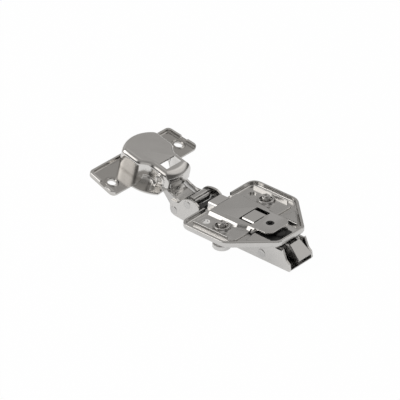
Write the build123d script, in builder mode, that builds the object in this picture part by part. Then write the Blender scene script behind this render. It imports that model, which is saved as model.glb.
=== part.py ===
"""Concealed cup hinge with a clip-on arm and a wing mounting plate, opened to its stop.

The origin lies midway between the two fixing screws, on the face that seats against the
cabinet side. +Z points into the cabinet side, so the seating face looks up. +X runs from
the cup towards the rear end of the arm, and +Y to the far side. Millimetres throughout.
"""
import os
from math import cos, hypot, radians, sin, sqrt

from build123d import *

# --- running fits ---------------------------------------------------------------------
RUNNING = 0.05          # radial clearance of a pin that turns in a bore
SLIDING = 0.05          # gap between two flat faces that slide
PRESS = 0.01            # radial clearance of a pin that is riveted fast

# --- base plate, the pressing that is screwed to the cabinet ---------------------------
SCREW_PITCH = 32.0      # hole spacing of the drilling system
BASE_SHEET = 0.8
HAT_HEIGHT = 2.0        # seating face above the wing floors
HAT_HALF = 10.2         # half width of the hat in front
HAT_FRONT = -13.0
HAT_FOOT = 1.6          # how far a hat wall leans out towards its foot
WAIST_START = 5.0       # where the hat begins to narrow
WAIST_END = 10.0
TONGUE_HALF = 8.2
TONGUE_END = 23.2
TONGUE_CORNER = 2.6
WING_FRONT = -14.0
WING_REAR = 12.0
LIP_OUTER = 22.3        # half width over the turned-up lips
LIP_TOP = -0.5
LIP_LENGTH = 24.0
COLLAR_WALL = 0.75
COLLAR_FOOT = 0.8       # how far the foot stands out round the collar
COLLAR_TOP = -0.3
GAUGE_HOLE_R = 2.05     # locating holes in front of the screws
GAUGE_HOLE_X = -9.3
GAUGE_HOLE_Y = 16.8

# --- wing plate, the dished tray that carries the arm -----------------------------------
TRAY_SHEET = 1.0
TRAY_FRONT = -17.5
TRAY_HALF = 27.0
TRAY_SHOULDER = 11.0    # where the long edges end and the chamfers start
TRAY_REAR = 30.4
TRAY_REAR_HALF = 9.6
TRAY_RIM_TOP = -0.75
TRAY_RIM = 1.3
TRAY_CORNER_R = 3.2
TRAY_NOSE_GAP = 9.7     # half width of the open stretch of the front rim
TRAVEL_HEIGHT = 1.5     # height adjustment, each way along Y
BRIDGE_HALF = 4.4       # flat top of the bridges pressed up through the base plate
BRIDGE_FOOT = 5.1
HOOK_BRIDGE = (-18.6, -13.2)
KEY_BRIDGE = (3.0, 10.2)
KEY_SLOT_END = 0.6      # the slot of the base plate is this much longer than its bridge
WINDOW = (14.2, 26.9, -9.1, 4.3)     # opening behind the tongue: two X values, two Y values
FLAP_RISE = 1.5
FLAP_INNER = 9.4
FLAP_FRONT = 14.6
FLAP_REAR = 25.4
FLAP_DEPTH = 9.6

# --- fixing screws ----------------------------------------------------------------------
SCREW_THREAD_R = 3.15
SCREW_TIP_R = 2.1
SCREW_TIP_TOP = 1.6
SCREW_TIP_LENGTH = 1.95     # the round tip with its star, above the cone
SCREW_CONE = 1.6            # length of the cone between thread and tip
SCREW_CONE_R = 2.6
SCREW_STAR_R = 1.8          # the star stands on the round part of the tip
SCREW_STAR_LENGTH = 0.75
SCREW_HEAD_R = 4.6
SCREW_HEAD_BOTTOM = -12.7
SCREW_HEAD_HEIGHT = 2.6
SCREW_POINTS = 6

# --- height cam and guide block ----------------------------------------------------------
CAM_X = 16.5
CAM_HUB_R = 2.02
CAM_DISC_R = 4.0
CAM_DISC = 1.4
CAM_THROW = 1.8
CAM_PIN_R = 1.2
BLOCK_TOP = -2.55

# --- inner channel ------------------------------------------------------------------------
CHANNEL_SHEET = 1.1
CHANNEL_SIDE_PLAY = 0.15     # between the channel and the arm, each side
CHANNEL_FRONT = -15.6
CHANNEL_REAR = 29.3
CHANNEL_BOTTOM = -13.3
CHANNEL_GAP = 0.1       # below the tray

# --- arm -----------------------------------------------------------------------------------
ARM_SHEET = 1.1
ARM_HALF = 8.5
ARM_BOTTOM = -16.0
ARM_REAR = 36.2
ARM_FLOOR_FRONT = -29.4
TILT_PIVOT = (18.5, -12.0)
PIVOT_A = (-29.1, -4.6)     # upper pivot: inner link
PIVOT_B = (-37.8, -11.0)    # front pivot: outer link
RIVET_A_R = 1.1
RIVET_B_R = 1.3
RIVET_HEAD_R = 2.2
RIVET_HEAD = 0.45

# --- adjusting screws -----------------------------------------------------------------------
OVERLAY_X = -10.0
OVERLAY_SHAFT_R = 2.0
OVERLAY_HEAD_R = 2.4
OVERLAY_COLLAR_R = 3.3
DEPTH_X = -1.5
DEPTH_THROW = 1.6
DEPTH_PIN_R = 1.2
DEPTH_HUB_R = 2.25
DEPTH_DISC_R = 3.6

# --- release lever ----------------------------------------------------------------------------
LEVER_SHEET = 1.0
LEVER_PIN = (26.6, -8.4)
LEVER_PIN_R = 1.25
LEVER_TOP = (32.0, -4.05)
LEVER_FOOT = (38.9, -9.8)
LEVER_TOP_HALF = 4.7
LEVER_FOOT_HALF = 3.45
LEVER_SPRING_TIPS = ((-4.3, 2.6), (5.55, 1.95))      # from the lever's pin

# --- cup -------------------------------------------------------------------------------------------
CUP_NOSE = (-41.6198, -5.5336)    # X and Z of the mouth's nearest point to the arm
CUP_TILT = 14.0                   # opening angle past square
CUP_R = 17.5                      # fits a 35 mm bore
CUP_DEPTH = 12.0
CUP_WALL = 0.9
CUP_FLAT = 12.4                   # half width over the flats beside the flange
CUP_SIDE_PLAY = 0.35              # between the outer link and the nose, each side
CUP_BEND_START = -2.0
CUP_BEND_END = 4.6
CUP_EDGE_R = 2.0
CUP_NOSE_EDGE_R = 5.0             # the front of the nose rolls over more gently
CUP_EDGE_STEPS = 3
SKIRT_TOP = 2.2
SKIRT_LIP = 0.9
NOSE_CUT_BACK = 4.2               # the nose is open this far back to let the links out
NOSE_CUT_TOP = 4.3
WINDOW_BACK = (11.5, 6.6)         # clearance window in the cup bottom, from the nose
WINDOW_HALF = 5.2
FLANGE_SHEET = 1.2
FLANGE_BACK = -17.6
FLANGE_FRONT = 1.4
FLANGE_HALF_BACK = 28.8
FLANGE_HALF_FRONT = 30.8
FLANGE_RIM = 1.3
FLANGE_RIM_TOP = 2.6
FLANGE_HOLE_PITCH = 48.0
FLANGE_HOLE_X = -6.0
FLANGE_HOLE_R = 2.2
FLANGE_COLLAR_R = 3.3

# --- link pins in the cup: back from the nose, and up from the mouth --------------------------------
PIN_INNER = (7.0, 6.8)
PIN_OUTER = (5.1, 3.2)
CUP_PIN_R = 1.1

# --- links ---------------------------------------------------------------------------------------------
LINK_SHEET = 1.2
WEB_HALF = 5.0          # half width of the inner link
CURL_R = 2.85           # curl of the inner link round the upper pivot
CURL_PLAY = 1.08        # half length of the slot inside the curl
CURL_PLAY_ANGLE = -39.8
CURL_PLAY_MIDDLE = (0.06, 0.07)      # from the upper pivot to the slot's middle
CURL_PLAY_SIDE = 0.2    # radial play across the slot

# --- closing spring -------------------------------------------------------------------------------------
SPRING_WIRE_R = 0.4
SPRING_COIL_R = 1.9
SPRING_RINGS = 2
COIL_SPACING = 0.9      # ring spacing of a close-wound coil, in wire diameters
SPRING_LEG = (-3.2, -3.7)            # tip of each leg, from the upper pivot
SPRING_BAR = (2.1, 2.7)              # bar across the arm, from the upper pivot

# --- damper -----------------------------------------------------------------------------------------------
DAMPER_FRONT = -24.9
DAMPER_REAR = -17.6
DAMPER_SIDE_PLAY = 0.6
DAMPER_TOP = -4.0
DAMPER_BORE_R = 2.7
DAMPER_AXIS_Z = -11.0
DAMPER_ROD_R = 1.0
DAMPER_STROKE = 4.0

# --- sizes that follow from the ones above -------------------------------------------------------------
ARM_INNER = ARM_HALF - ARM_SHEET
CHANNEL_HALF = ARM_INNER - CHANNEL_SIDE_PLAY
CHEEK_OUTER = ARM_INNER - SLIDING         # outer face of the outer link's cheeks
DAMPER_HALF = ARM_INNER - DAMPER_SIDE_PLAY
CUP_NOSE_FLAT = CHEEK_OUTER + CUP_SIDE_PLAY + CUP_WALL    # half width over the nose's flats
CUP_ORIGIN = (CUP_NOSE[0] - CUP_R * cos(radians(CUP_TILT)), 0.0,
              CUP_NOSE[1] + CUP_R * sin(radians(CUP_TILT)))     # centre of the mouth
NOSE_CUT_X = CUP_R - NOSE_CUT_BACK
SCREW_BORE_R = SCREW_THREAD_R + RUNNING
COLLAR_R = SCREW_BORE_R + COLLAR_WALL

os.makedirs("parts", exist_ok=True)


# --- helpers ---------------------------------------------------------------------------------------------------
def cup_plane(height=0.0):
    """The plane parallel to the cup's mouth, this far towards the cup's bottom."""
    tilt = radians(CUP_TILT)
    x_axis = (cos(tilt), 0, -sin(tilt))
    z_axis = (sin(tilt), 0, cos(tilt))
    return Plane(origin=CUP_ORIGIN, x_dir=x_axis, z_dir=z_axis).offset(height)


def cup_point(x, z):
    """World X and Z of a point given in the cup's own X and Z."""
    tilt = radians(CUP_TILT)
    return (CUP_ORIGIN[0] + x * cos(tilt) + z * sin(tilt),
            CUP_ORIGIN[2] - x * sin(tilt) + z * cos(tilt))


def slab(points, y_low, y_high, mode=Mode.ADD):
    """A plate parallel to XZ, with this outline, between two values of Y."""
    with BuildSketch(Plane.XZ.offset(-y_high)) as outline:
        with BuildLine():
            Polyline(*points, close=True)
        make_face()
    extrude(outline.sketch, amount=y_high - y_low, mode=mode)


def slab_pair(points, y_inner, y_outer, mode=Mode.ADD):
    """The same plate on both sides of the middle."""
    slab(points, y_inner, y_outer, mode=mode)
    slab(points, -y_outer, -y_inner, mode=mode)


def disc(centre, radius, y_low, y_high, mode=Mode.ADD):
    """A round prism along Y about a point given as (X, Z)."""
    with BuildSketch(Plane.XZ.offset(-y_high)) as outline:
        with Locations(centre):
            Circle(radius)
    extrude(outline.sketch, amount=y_high - y_low, mode=mode)


def post(x, y, radius, z_low, z_high, mode=Mode.ADD):
    """A round prism along Z."""
    with BuildSketch(Plane.XY.offset(z_low)) as outline:
        with Locations((x, y)):
            Circle(radius)
    extrude(outline.sketch, amount=z_high - z_low, mode=mode)


def block(x_range, y_range, z_range, mode=Mode.ADD):
    """A square block between pairs of coordinates."""
    with BuildSketch(Plane.XY.offset(z_range[0])) as outline:
        with Locations(((x_range[0] + x_range[1]) / 2, (y_range[0] + y_range[1]) / 2)):
            Rectangle(x_range[1] - x_range[0], y_range[1] - y_range[0])
    extrude(outline.sketch, amount=z_range[1] - z_range[0], mode=mode)


def rod(start, end, radius):
    """A straight round wire between two points."""
    with BuildSketch(Plane(origin=start, z_dir=Vector(*end) - Vector(*start))) as outline:
        Circle(radius)
    extrude(outline.sketch, amount=(Vector(*end) - Vector(*start)).length)


def finish(piece, label):
    """Name a finished piece and write it out."""
    piece.part.label = label
    export_step(piece.part, f"parts/{label}.step")


INNER_PIN = cup_point(CUP_R - PIN_INNER[0], PIN_INNER[1])
OUTER_PIN = cup_point(CUP_R - PIN_OUTER[0], PIN_OUTER[1])

# =========================================================================================
# Base plate
# =========================================================================================
FLOOR_BOTTOM = -HAT_HEIGHT - BASE_SHEET
SCREW_Y = SCREW_PITCH / 2


def hat_outline(grow, front):
    """Plan of the hat: wide in front, waisted, with the tongue's width behind."""
    half, rear_half = HAT_HALF + grow, TONGUE_HALF + grow
    return [(front, -half), (WAIST_START, -half), (WAIST_END, -rear_half),
            (WING_REAR + 2, -rear_half), (WING_REAR + 2, rear_half), (WAIST_END, rear_half),
            (WAIST_START, half), (front, half)]


def hat_block(inset, bottom, top, mode):
    """The hat's body with leaning walls, or its hollow when an inset is given."""
    sections = []
    for height, grow in ((bottom, HAT_FOOT - inset), (top, -inset)):
        front = HAT_FRONT if inset == 0 else HAT_FRONT - 1
        with BuildSketch(Plane.XY.offset(height)) as section:
            with BuildLine():
                Polyline(*hat_outline(grow, front), close=True)
            make_face()
        sections.append(section.sketch)
    loft(sections, mode=mode)


with BuildPart() as base_plate:
    with BuildSketch(Plane.XY.offset(FLOOR_BOTTOM)):
        with Locations(((WING_FRONT + WING_REAR) / 2, 0)):
            RectangleRounded(WING_REAR - WING_FRONT, 2 * LIP_OUTER, 2.5)
    extrude(amount=BASE_SHEET)
    hat_block(0, FLOOR_BOTTOM, 0, Mode.ADD)
    with BuildSketch(Plane.XY.offset(-BASE_SHEET)):
        with BuildLine():
            Polyline((WAIST_END, -TONGUE_HALF), (TONGUE_END - TONGUE_CORNER, -TONGUE_HALF),
                     (TONGUE_END, TONGUE_CORNER - TONGUE_HALF),
                     (TONGUE_END, TONGUE_HALF - TONGUE_CORNER),
                     (TONGUE_END - TONGUE_CORNER, TONGUE_HALF), (WAIST_END, TONGUE_HALF),
                     close=True)
        make_face()
    extrude(amount=BASE_SHEET)
    hat_block(BASE_SHEET, FLOOR_BOTTOM - 0.2, -BASE_SHEET, Mode.SUBTRACT)
    # the hat is open behind, under the tongue
    block((WING_REAR, WING_REAR + 3), (-12, 12), (FLOOR_BOTTOM - 1, -BASE_SHEET),
          mode=Mode.SUBTRACT)
    # the front of the floor is cut back beside the hook bridge
    block((WING_FRONT - 1, HAT_FRONT), (-HAT_HALF - HAT_FOOT, HAT_HALF + HAT_FOOT),
          (FLOOR_BOTTOM - 1, 0), mode=Mode.SUBTRACT)
    for side in (-1, 1):
        # turned-up lip
        lip_y = side * (LIP_OUTER - BASE_SHEET / 2)
        block((WING_FRONT + 1, WING_FRONT + 1 + LIP_LENGTH - 2),
              (lip_y - BASE_SHEET / 2, lip_y + BASE_SHEET / 2), (FLOOR_BOTTOM, LIP_TOP))
        # drawn collar round the screw
        with BuildSketch(Plane.XY.offset(-HAT_HEIGHT)):
            with Locations((0, side * SCREW_Y)):
                Circle(COLLAR_R + COLLAR_FOOT)
        extrude(amount=0.35)
        post(0, side * SCREW_Y, COLLAR_R, -HAT_HEIGHT, COLLAR_TOP)
        post(0, side * SCREW_Y, SCREW_BORE_R, FLOOR_BOTTOM - 1, 0, mode=Mode.SUBTRACT)
        post(GAUGE_HOLE_X, side * GAUGE_HOLE_Y, GAUGE_HOLE_R, FLOOR_BOTTOM - 1, 0,
             mode=Mode.SUBTRACT)
    # slot for the key bridge, long enough for the height adjustment
    slot_half = BRIDGE_FOOT + TRAVEL_HEIGHT + 0.2
    block((KEY_BRIDGE[0] - KEY_SLOT_END, KEY_BRIDGE[1] + KEY_SLOT_END),
          (-slot_half, slot_half), (-BASE_SHEET - 0.1, 0.1), mode=Mode.SUBTRACT)
    post(CAM_X, 0, CAM_HUB_R + RUNNING, -BASE_SHEET - 0.1, 0.1, mode=Mode.SUBTRACT)
finish(base_plate, "base_plate")

# =========================================================================================
# Wing plate
# =========================================================================================
TRAY_TOP = FLOOR_BOTTOM - SLIDING         # upper face of the tray's floor
TRAY_BOTTOM = TRAY_TOP - TRAY_SHEET


def tray_outline(inset, corner_r):
    """Plan of the tray, with its long corners rounded, on the current sketch plane."""
    front, rear = TRAY_FRONT + inset, TRAY_REAR - inset
    half, rear_half = TRAY_HALF - inset, TRAY_REAR_HALF - inset / 2
    shoulder = TRAY_SHOULDER - inset / 2
    with BuildSketch(Plane.XY) as outline:
        with BuildLine():
            Polyline((front, -half), (shoulder, -half), (rear - 1.2, -rear_half),
                     (rear, -rear_half + 2), (rear, rear_half - 2), (rear - 1.2, rear_half),
                     (shoulder, half), (front, half), close=True)
        make_face()
        fillet(outline.vertices().group_by(Axis.X)[0], corner_r)
        fillet(outline.vertices().group_by(Axis.Y)[0].sort_by(Axis.X)[-1:], corner_r)
        fillet(outline.vertices().group_by(Axis.Y)[-1].sort_by(Axis.X)[-1:], corner_r)
    return outline.sketch


with BuildPart() as wing_plate:
    extrude(Plane.XY.offset(TRAY_BOTTOM) * tray_outline(0, TRAY_CORNER_R),
            amount=TRAY_RIM_TOP - TRAY_BOTTOM)
    fillet(wing_plate.faces().sort_by(Axis.Z)[0].edges(), 0.9)
    extrude(Plane.XY.offset(TRAY_TOP) * tray_outline(TRAY_RIM, TRAY_CORNER_R - TRAY_RIM),
            amount=3, mode=Mode.SUBTRACT)
    # the front rim is open in the middle, for the links
    block((TRAY_FRONT - 1, TRAY_FRONT + TRAY_RIM + 0.5), (-TRAY_NOSE_GAP, TRAY_NOSE_GAP),
          (TRAY_TOP, 0), mode=Mode.SUBTRACT)
    # bridges pressed up through the base plate: one hooks in front, one keys the slot
    for front, rear in (HOOK_BRIDGE, KEY_BRIDGE):
        block((front, rear), (-BRIDGE_FOOT - 0.1, BRIDGE_FOOT + 0.1),
              (TRAY_BOTTOM - 1, TRAY_TOP + 1), mode=Mode.SUBTRACT)
        with BuildSketch(Plane.YZ.offset(front)):
            with BuildLine():
                Polyline((-BRIDGE_FOOT - 0.4, TRAY_BOTTOM), (-BRIDGE_FOOT - 0.4, TRAY_TOP),
                         (-BRIDGE_FOOT, TRAY_TOP), (-BRIDGE_FOOT, -0.9), (-BRIDGE_HALF, 0),
                         (BRIDGE_HALF, 0), (BRIDGE_FOOT, -0.9), (BRIDGE_FOOT, TRAY_TOP),
                         (BRIDGE_FOOT + 0.4, TRAY_TOP), (BRIDGE_FOOT + 0.4, TRAY_BOTTOM),
                         (BRIDGE_HALF - 0.2, TRAY_BOTTOM),
                         (BRIDGE_HALF - 0.2, -TRAY_SHEET), (0.2 - BRIDGE_HALF, -TRAY_SHEET),
                         (0.2 - BRIDGE_HALF, TRAY_BOTTOM), close=True)
            make_face()
        extrude(amount=rear - front)
    # opening behind the tongue
    block(WINDOW[:2], WINDOW[2:], (TRAY_BOTTOM - 1, 0), mode=Mode.SUBTRACT)
    # slots that let the fixing screws through at any height setting
    for side in (-1, 1):
        with BuildSketch(Plane.XY.offset(TRAY_BOTTOM - 1)):
            with Locations((0, side * SCREW_Y)):
                SlotOverall(2 * (SCREW_THREAD_R + 0.4 + TRAVEL_HEIGHT),
                            2 * (SCREW_THREAD_R + 0.4), rotation=90)
        extrude(amount=3, mode=Mode.SUBTRACT)
        # raised flap beside the tongue
        corners = [(FLAP_FRONT, side * FLAP_INNER), (FLAP_REAR, side * FLAP_INNER),
                   (FLAP_REAR - 0.6, side * (FLAP_INNER + 1.6)),
                   (FLAP_FRONT + 2.0, side * (FLAP_INNER + FLAP_DEPTH))]
        with BuildSketch(Plane.XY.offset(TRAY_TOP - 0.3)):
            with BuildLine():
                Polyline(*corners[::side], close=True)
            make_face()
        extrude(amount=FLAP_RISE + 0.3, taper=20)
    # two-lobed hole that lines up with the near locating hole
    for lobe in (-1.1, 1.1):
        post(GAUGE_HOLE_X + lobe, -GAUGE_HOLE_Y, 1.7, TRAY_BOTTOM - 1, TRAY_TOP + 1,
             mode=Mode.SUBTRACT)
    # cross slot for the depth cam's pin
    with BuildSketch(Plane.XY.offset(TRAY_BOTTOM - 1)):
        with Locations((DEPTH_X, DEPTH_THROW * 0.75)):
            SlotOverall(2 * (DEPTH_PIN_R + 0.2) + DEPTH_THROW / 2 + 0.3,
                        2 * (DEPTH_PIN_R + 0.2), rotation=90)
    extrude(amount=3, mode=Mode.SUBTRACT)
finish(wing_plate, "wing_plate")

# =========================================================================================
# Guide block, height cam and fixing screws
# =========================================================================================
with BuildPart() as guide_block:
    block((WINDOW[0] + 0.1, WINDOW[1] - 0.1), (WINDOW[2] + 0.1, WINDOW[3] - 0.1),
          (TRAY_BOTTOM + 0.05, BLOCK_TOP))
    post(24.2, -1.2, 2.6, BLOCK_TOP, BLOCK_TOP + 1.0)
    fillet(guide_block.faces().sort_by(Axis.Z)[-1].edges(), 0.7)
    # slot along X for the pin of the height cam
    with BuildSketch(Plane.XY.offset(TRAY_BOTTOM)):
        with Locations((CAM_X + CAM_THROW * 0.75, 0)):
            SlotOverall(2 * (CAM_PIN_R + 0.2) + CAM_THROW / 2 + 0.3, 2 * (CAM_PIN_R + 0.2))
    extrude(amount=4, mode=Mode.SUBTRACT)
finish(guide_block, "guide_block")

with BuildPart() as height_cam:
    post(CAM_X, 0, CAM_HUB_R, -BASE_SHEET - SLIDING, -0.15)
    post(CAM_X, 0, CAM_DISC_R, -BASE_SHEET - SLIDING - CAM_DISC, -BASE_SHEET - SLIDING)
    post(CAM_X + CAM_THROW, 0, CAM_PIN_R, TRAY_BOTTOM + 0.15,
         -BASE_SHEET - SLIDING - CAM_DISC)
    # driver recess
    with BuildSketch(Plane.XY.offset(-1.6)):
        with Locations((CAM_X, 0)):
            Rectangle(2.8, 0.8)
            Rectangle(0.8, 2.8)
    extrude(amount=2, mode=Mode.SUBTRACT)
finish(height_cam, "height_cam")


def fixing_screw(y):
    """A fixing screw with a flat head, a plain thread cylinder and a star on its tip."""
    head_top = SCREW_HEAD_BOTTOM + SCREW_HEAD_HEIGHT
    cone_top = SCREW_TIP_TOP - SCREW_TIP_LENGTH
    thread_top = cone_top - SCREW_CONE
    with BuildPart() as screw:
        post(0, y, SCREW_HEAD_R, SCREW_HEAD_BOTTOM, head_top)
        chamfer(screw.faces().sort_by(Axis.Z)[0].edges(), 0.6)
        post(0, y, SCREW_THREAD_R, head_top, thread_top)
        with Locations((0, y, (thread_top + cone_top) / 2)):
            Cone(SCREW_CONE_R, SCREW_TIP_R, SCREW_CONE)
        post(0, y, SCREW_TIP_R, cone_top, SCREW_TIP_TOP - SCREW_STAR_LENGTH)
        with BuildSketch(Plane.XY.offset(SCREW_TIP_TOP - SCREW_STAR_LENGTH)):
            with Locations((0, y)):
                Circle(SCREW_STAR_R)
            with Locations((0, y)):
                with PolarLocations(SCREW_STAR_R, SCREW_POINTS):
                    Circle(0.42, mode=Mode.SUBTRACT)
        extrude(amount=SCREW_STAR_LENGTH)
        chamfer(screw.faces().sort_by(Axis.Z)[-1].edges(), 0.2)
        # cross recess in the head
        with BuildSketch(Plane.XY.offset(SCREW_HEAD_BOTTOM - 0.1)):
            with Locations((0, y)):
                Rectangle(5.0, 1.0)
                Rectangle(1.0, 5.0)
        extrude(amount=1.9, mode=Mode.SUBTRACT)
    return screw


for side, place in ((-1, "near"), (1, "far")):
    finish(fixing_screw(side * SCREW_Y), f"fixing_screw_{place}")

# =========================================================================================
# Inner channel with its adjusting screws
# =========================================================================================
CHANNEL_TOP = TRAY_BOTTOM - CHANNEL_GAP
CHANNEL_WEB = CHANNEL_TOP - CHANNEL_SHEET
CHANNEL_INNER = CHANNEL_HALF - CHANNEL_SHEET
CHANNEL_WALL = [(CHANNEL_FRONT, CHANNEL_TOP), (CHANNEL_REAR - 3.5, CHANNEL_TOP),
                (CHANNEL_REAR, CHANNEL_TOP - 2.5), (CHANNEL_REAR, CHANNEL_BOTTOM + 3),
                (CHANNEL_REAR - 2, CHANNEL_BOTTOM), (CHANNEL_FRONT + 3, CHANNEL_BOTTOM),
                (CHANNEL_FRONT, CHANNEL_BOTTOM + 3)]

with BuildPart() as inner_channel:
    slab(CHANNEL_WALL, -CHANNEL_HALF, CHANNEL_HALF)
    block((CHANNEL_FRONT - 1, CHANNEL_REAR + 1), (-CHANNEL_INNER, CHANNEL_INNER),
          (CHANNEL_BOTTOM - 1, CHANNEL_WEB), mode=Mode.SUBTRACT)
    # open behind, where the release lever sits
    block((22.6, CHANNEL_REAR + 1), (-CHANNEL_INNER, CHANNEL_INNER),
          (CHANNEL_WEB - 1, CHANNEL_TOP + 1), mode=Mode.SUBTRACT)
    # front hook, up through the tray and forward under the hook bridge
    block((CHANNEL_FRONT, CHANNEL_FRONT + 1), (-3.4, 3.4), (CHANNEL_TOP, -1.35))
    block((CHANNEL_FRONT - 1.4, CHANNEL_FRONT + 1), (-3.4, 3.4), (-2.35, -1.35))
    # threaded collar of the overlay screw
    post(OVERLAY_X, 0, OVERLAY_SHAFT_R + 1.4, CHANNEL_WEB - 1.5, CHANNEL_WEB)
    post(OVERLAY_X, 0, OVERLAY_SHAFT_R + 0.4, CHANNEL_BOTTOM, CHANNEL_TOP + 1,
         mode=Mode.SUBTRACT)
    post(DEPTH_X, 0, DEPTH_HUB_R + RUNNING, CHANNEL_BOTTOM, CHANNEL_TOP + 1,
         mode=Mode.SUBTRACT)
    disc(TILT_PIVOT, RIVET_B_R + PRESS, -ARM_HALF, ARM_HALF, mode=Mode.SUBTRACT)
    disc(LEVER_PIN, LEVER_PIN_R + PRESS, -ARM_HALF, ARM_HALF, mode=Mode.SUBTRACT)
finish(inner_channel, "inner_channel")

with BuildPart() as depth_cam:
    post(DEPTH_X, 0, DEPTH_DISC_R, CHANNEL_WEB - SLIDING - 1.4, CHANNEL_WEB - SLIDING)
    post(DEPTH_X, 0, DEPTH_HUB_R, CHANNEL_WEB - SLIDING, CHANNEL_TOP + 0.02)
    post(DEPTH_X, DEPTH_THROW, DEPTH_PIN_R, CHANNEL_TOP + 0.02, TRAY_TOP)
    with BuildSketch(Plane.XY.offset(CHANNEL_WEB - 2)):
        with Locations((DEPTH_X, 0)):
            Rectangle(4.6, 0.9)
            Rectangle(0.9, 4.6)
    extrude(amount=1.3, mode=Mode.SUBTRACT)
finish(depth_cam, "depth_cam")

ARM_FLOOR_TOP = ARM_BOTTOM + ARM_SHEET
with BuildPart() as overlay_screw:
    post(OVERLAY_X, 0, OVERLAY_HEAD_R, ARM_BOTTOM + 0.1, ARM_FLOOR_TOP + SLIDING)
    post(OVERLAY_X, 0, OVERLAY_COLLAR_R, ARM_FLOOR_TOP + SLIDING, ARM_FLOOR_TOP + 0.8)
    post(OVERLAY_X, 0, OVERLAY_SHAFT_R, ARM_FLOOR_TOP + 0.8, CHANNEL_TOP - 0.85)
    chamfer(overlay_screw.faces().sort_by(Axis.Z)[-1].edges(), 0.4)
    with BuildSketch(Plane.XY.offset(ARM_BOTTOM)):
        with Locations((OVERLAY_X, 0)):
            Rectangle(3.6, 0.8)
            Rectangle(0.8, 3.6)
    extrude(amount=1.2, mode=Mode.SUBTRACT)
finish(overlay_screw, "overlay_screw")

# =========================================================================================
# Arm and its rivets
# =========================================================================================
AX, AZ = PIVOT_A
BX, BZ = PIVOT_B
ARM_SIDE = [
    (BX - 2.5, BZ + 1.9), (BX - 2.4, BZ - 0.4), (BX - 1.8, BZ - 1.9), (BX + 0.1, BZ - 2.8),
    (BX + 4.0, BZ - 3.2), (-31.2, -14.5), (-29.8, -15.6), (-28.6, ARM_BOTTOM),
    (35.3, ARM_BOTTOM), (ARM_REAR, -14.6), (35.7, -11.5), (33.8, -9.9), (32.7, -7.4),
    (31.6, -4.8), (31.0, -5.7), (27.4, -5.7), (26.8, -4.9), (-19.8, -5.2), (-21.9, -5.6),
    (AX + 7.7, AZ + 0.5), (AX + 7.1, AZ + 1.8), (AX + 5.2, AZ + 3.0), (AX + 3.3, AZ + 3.3),
    (AX + 0.7, AZ + 3.1), (AX - 1.9, AZ + 2.4), (AX - 3.2, AZ + 1.5), (AX - 4.6, AZ - 0.2),
    (AX - 5.6, AZ - 1.3), (BX - 2.2, AZ - 1.3)]

with BuildPart() as hinge_arm:
    slab(ARM_SIDE, -ARM_HALF, ARM_HALF)
    slab([(BX - 4, 1), (ARM_REAR + 3, 1), (ARM_REAR + 3, ARM_FLOOR_TOP),
          (ARM_FLOOR_FRONT + 1, ARM_FLOOR_TOP), (ARM_FLOOR_FRONT, ARM_BOTTOM - 1),
          (BX - 4, ARM_BOTTOM - 1)], -ARM_INNER, ARM_INNER, mode=Mode.SUBTRACT)
    # long bottom edges are bends
    bends = hinge_arm.edges().filter_by(Axis.X).group_by(Axis.Z)[0]
    fillet(bends.sort_by(Axis.Y)[0], 0.9)
    fillet(hinge_arm.edges().filter_by(Axis.X).group_by(Axis.Z)[0].sort_by(Axis.Y)[-1], 0.9)
    disc(PIVOT_A, RIVET_A_R + PRESS, -ARM_HALF, ARM_HALF, mode=Mode.SUBTRACT)
    disc(PIVOT_B, RIVET_B_R + PRESS, -ARM_HALF, ARM_HALF, mode=Mode.SUBTRACT)
    disc(TILT_PIVOT, RIVET_B_R + RUNNING, -ARM_HALF, ARM_HALF, mode=Mode.SUBTRACT)
    post(OVERLAY_X, 0, OVERLAY_HEAD_R + RUNNING, ARM_BOTTOM - 1, ARM_FLOOR_TOP + 1,
         mode=Mode.SUBTRACT)
    post(DEPTH_X, 0, DEPTH_DISC_R - 0.4, ARM_BOTTOM - 1, ARM_FLOOR_TOP + 1,
         mode=Mode.SUBTRACT)
finish(hinge_arm, "hinge_arm")


def rivet(centre, radius, seat_half):
    """A rivet right across the arm, with a low domed head on each side."""
    with BuildPart() as piece:
        disc(centre, radius, -seat_half, seat_half)
        for side in (-1, 1):
            low, high = sorted((side * seat_half, side * (seat_half + RIVET_HEAD)))
            disc(centre, RIVET_HEAD_R, low, high)
            outer = piece.faces().sort_by(Axis.Y)[-1 if side > 0 else 0]
            chamfer(outer.edges(), RIVET_HEAD * 0.6)
    return piece


finish(rivet(PIVOT_A, RIVET_A_R, ARM_HALF), "upper_rivet")
finish(rivet(PIVOT_B, RIVET_B_R, ARM_HALF), "front_rivet")
finish(rivet(TILT_PIVOT, RIVET_B_R, ARM_HALF + SLIDING), "rear_rivet")

# =========================================================================================
# Release lever with its pin and spring
# =========================================================================================
FLANGE_OUTER = LEVER_FOOT_HALF + 0.6
LX, LZ = LEVER_PIN
TX, TZ = LEVER_TOP
FX, FZ = LEVER_FOOT
slope = hypot(FX - TX, FZ - TZ)
INWARD = (-(TZ - FZ) / slope, -(FX - TX) / slope)     # unit normal into the arm
BACK_TOP = (TX + LEVER_SHEET * INWARD[0], TZ + LEVER_SHEET * INWARD[1])
BACK_FOOT = (FX + LEVER_SHEET * INWARD[0], FZ + LEVER_SHEET * INWARD[1])

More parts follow.
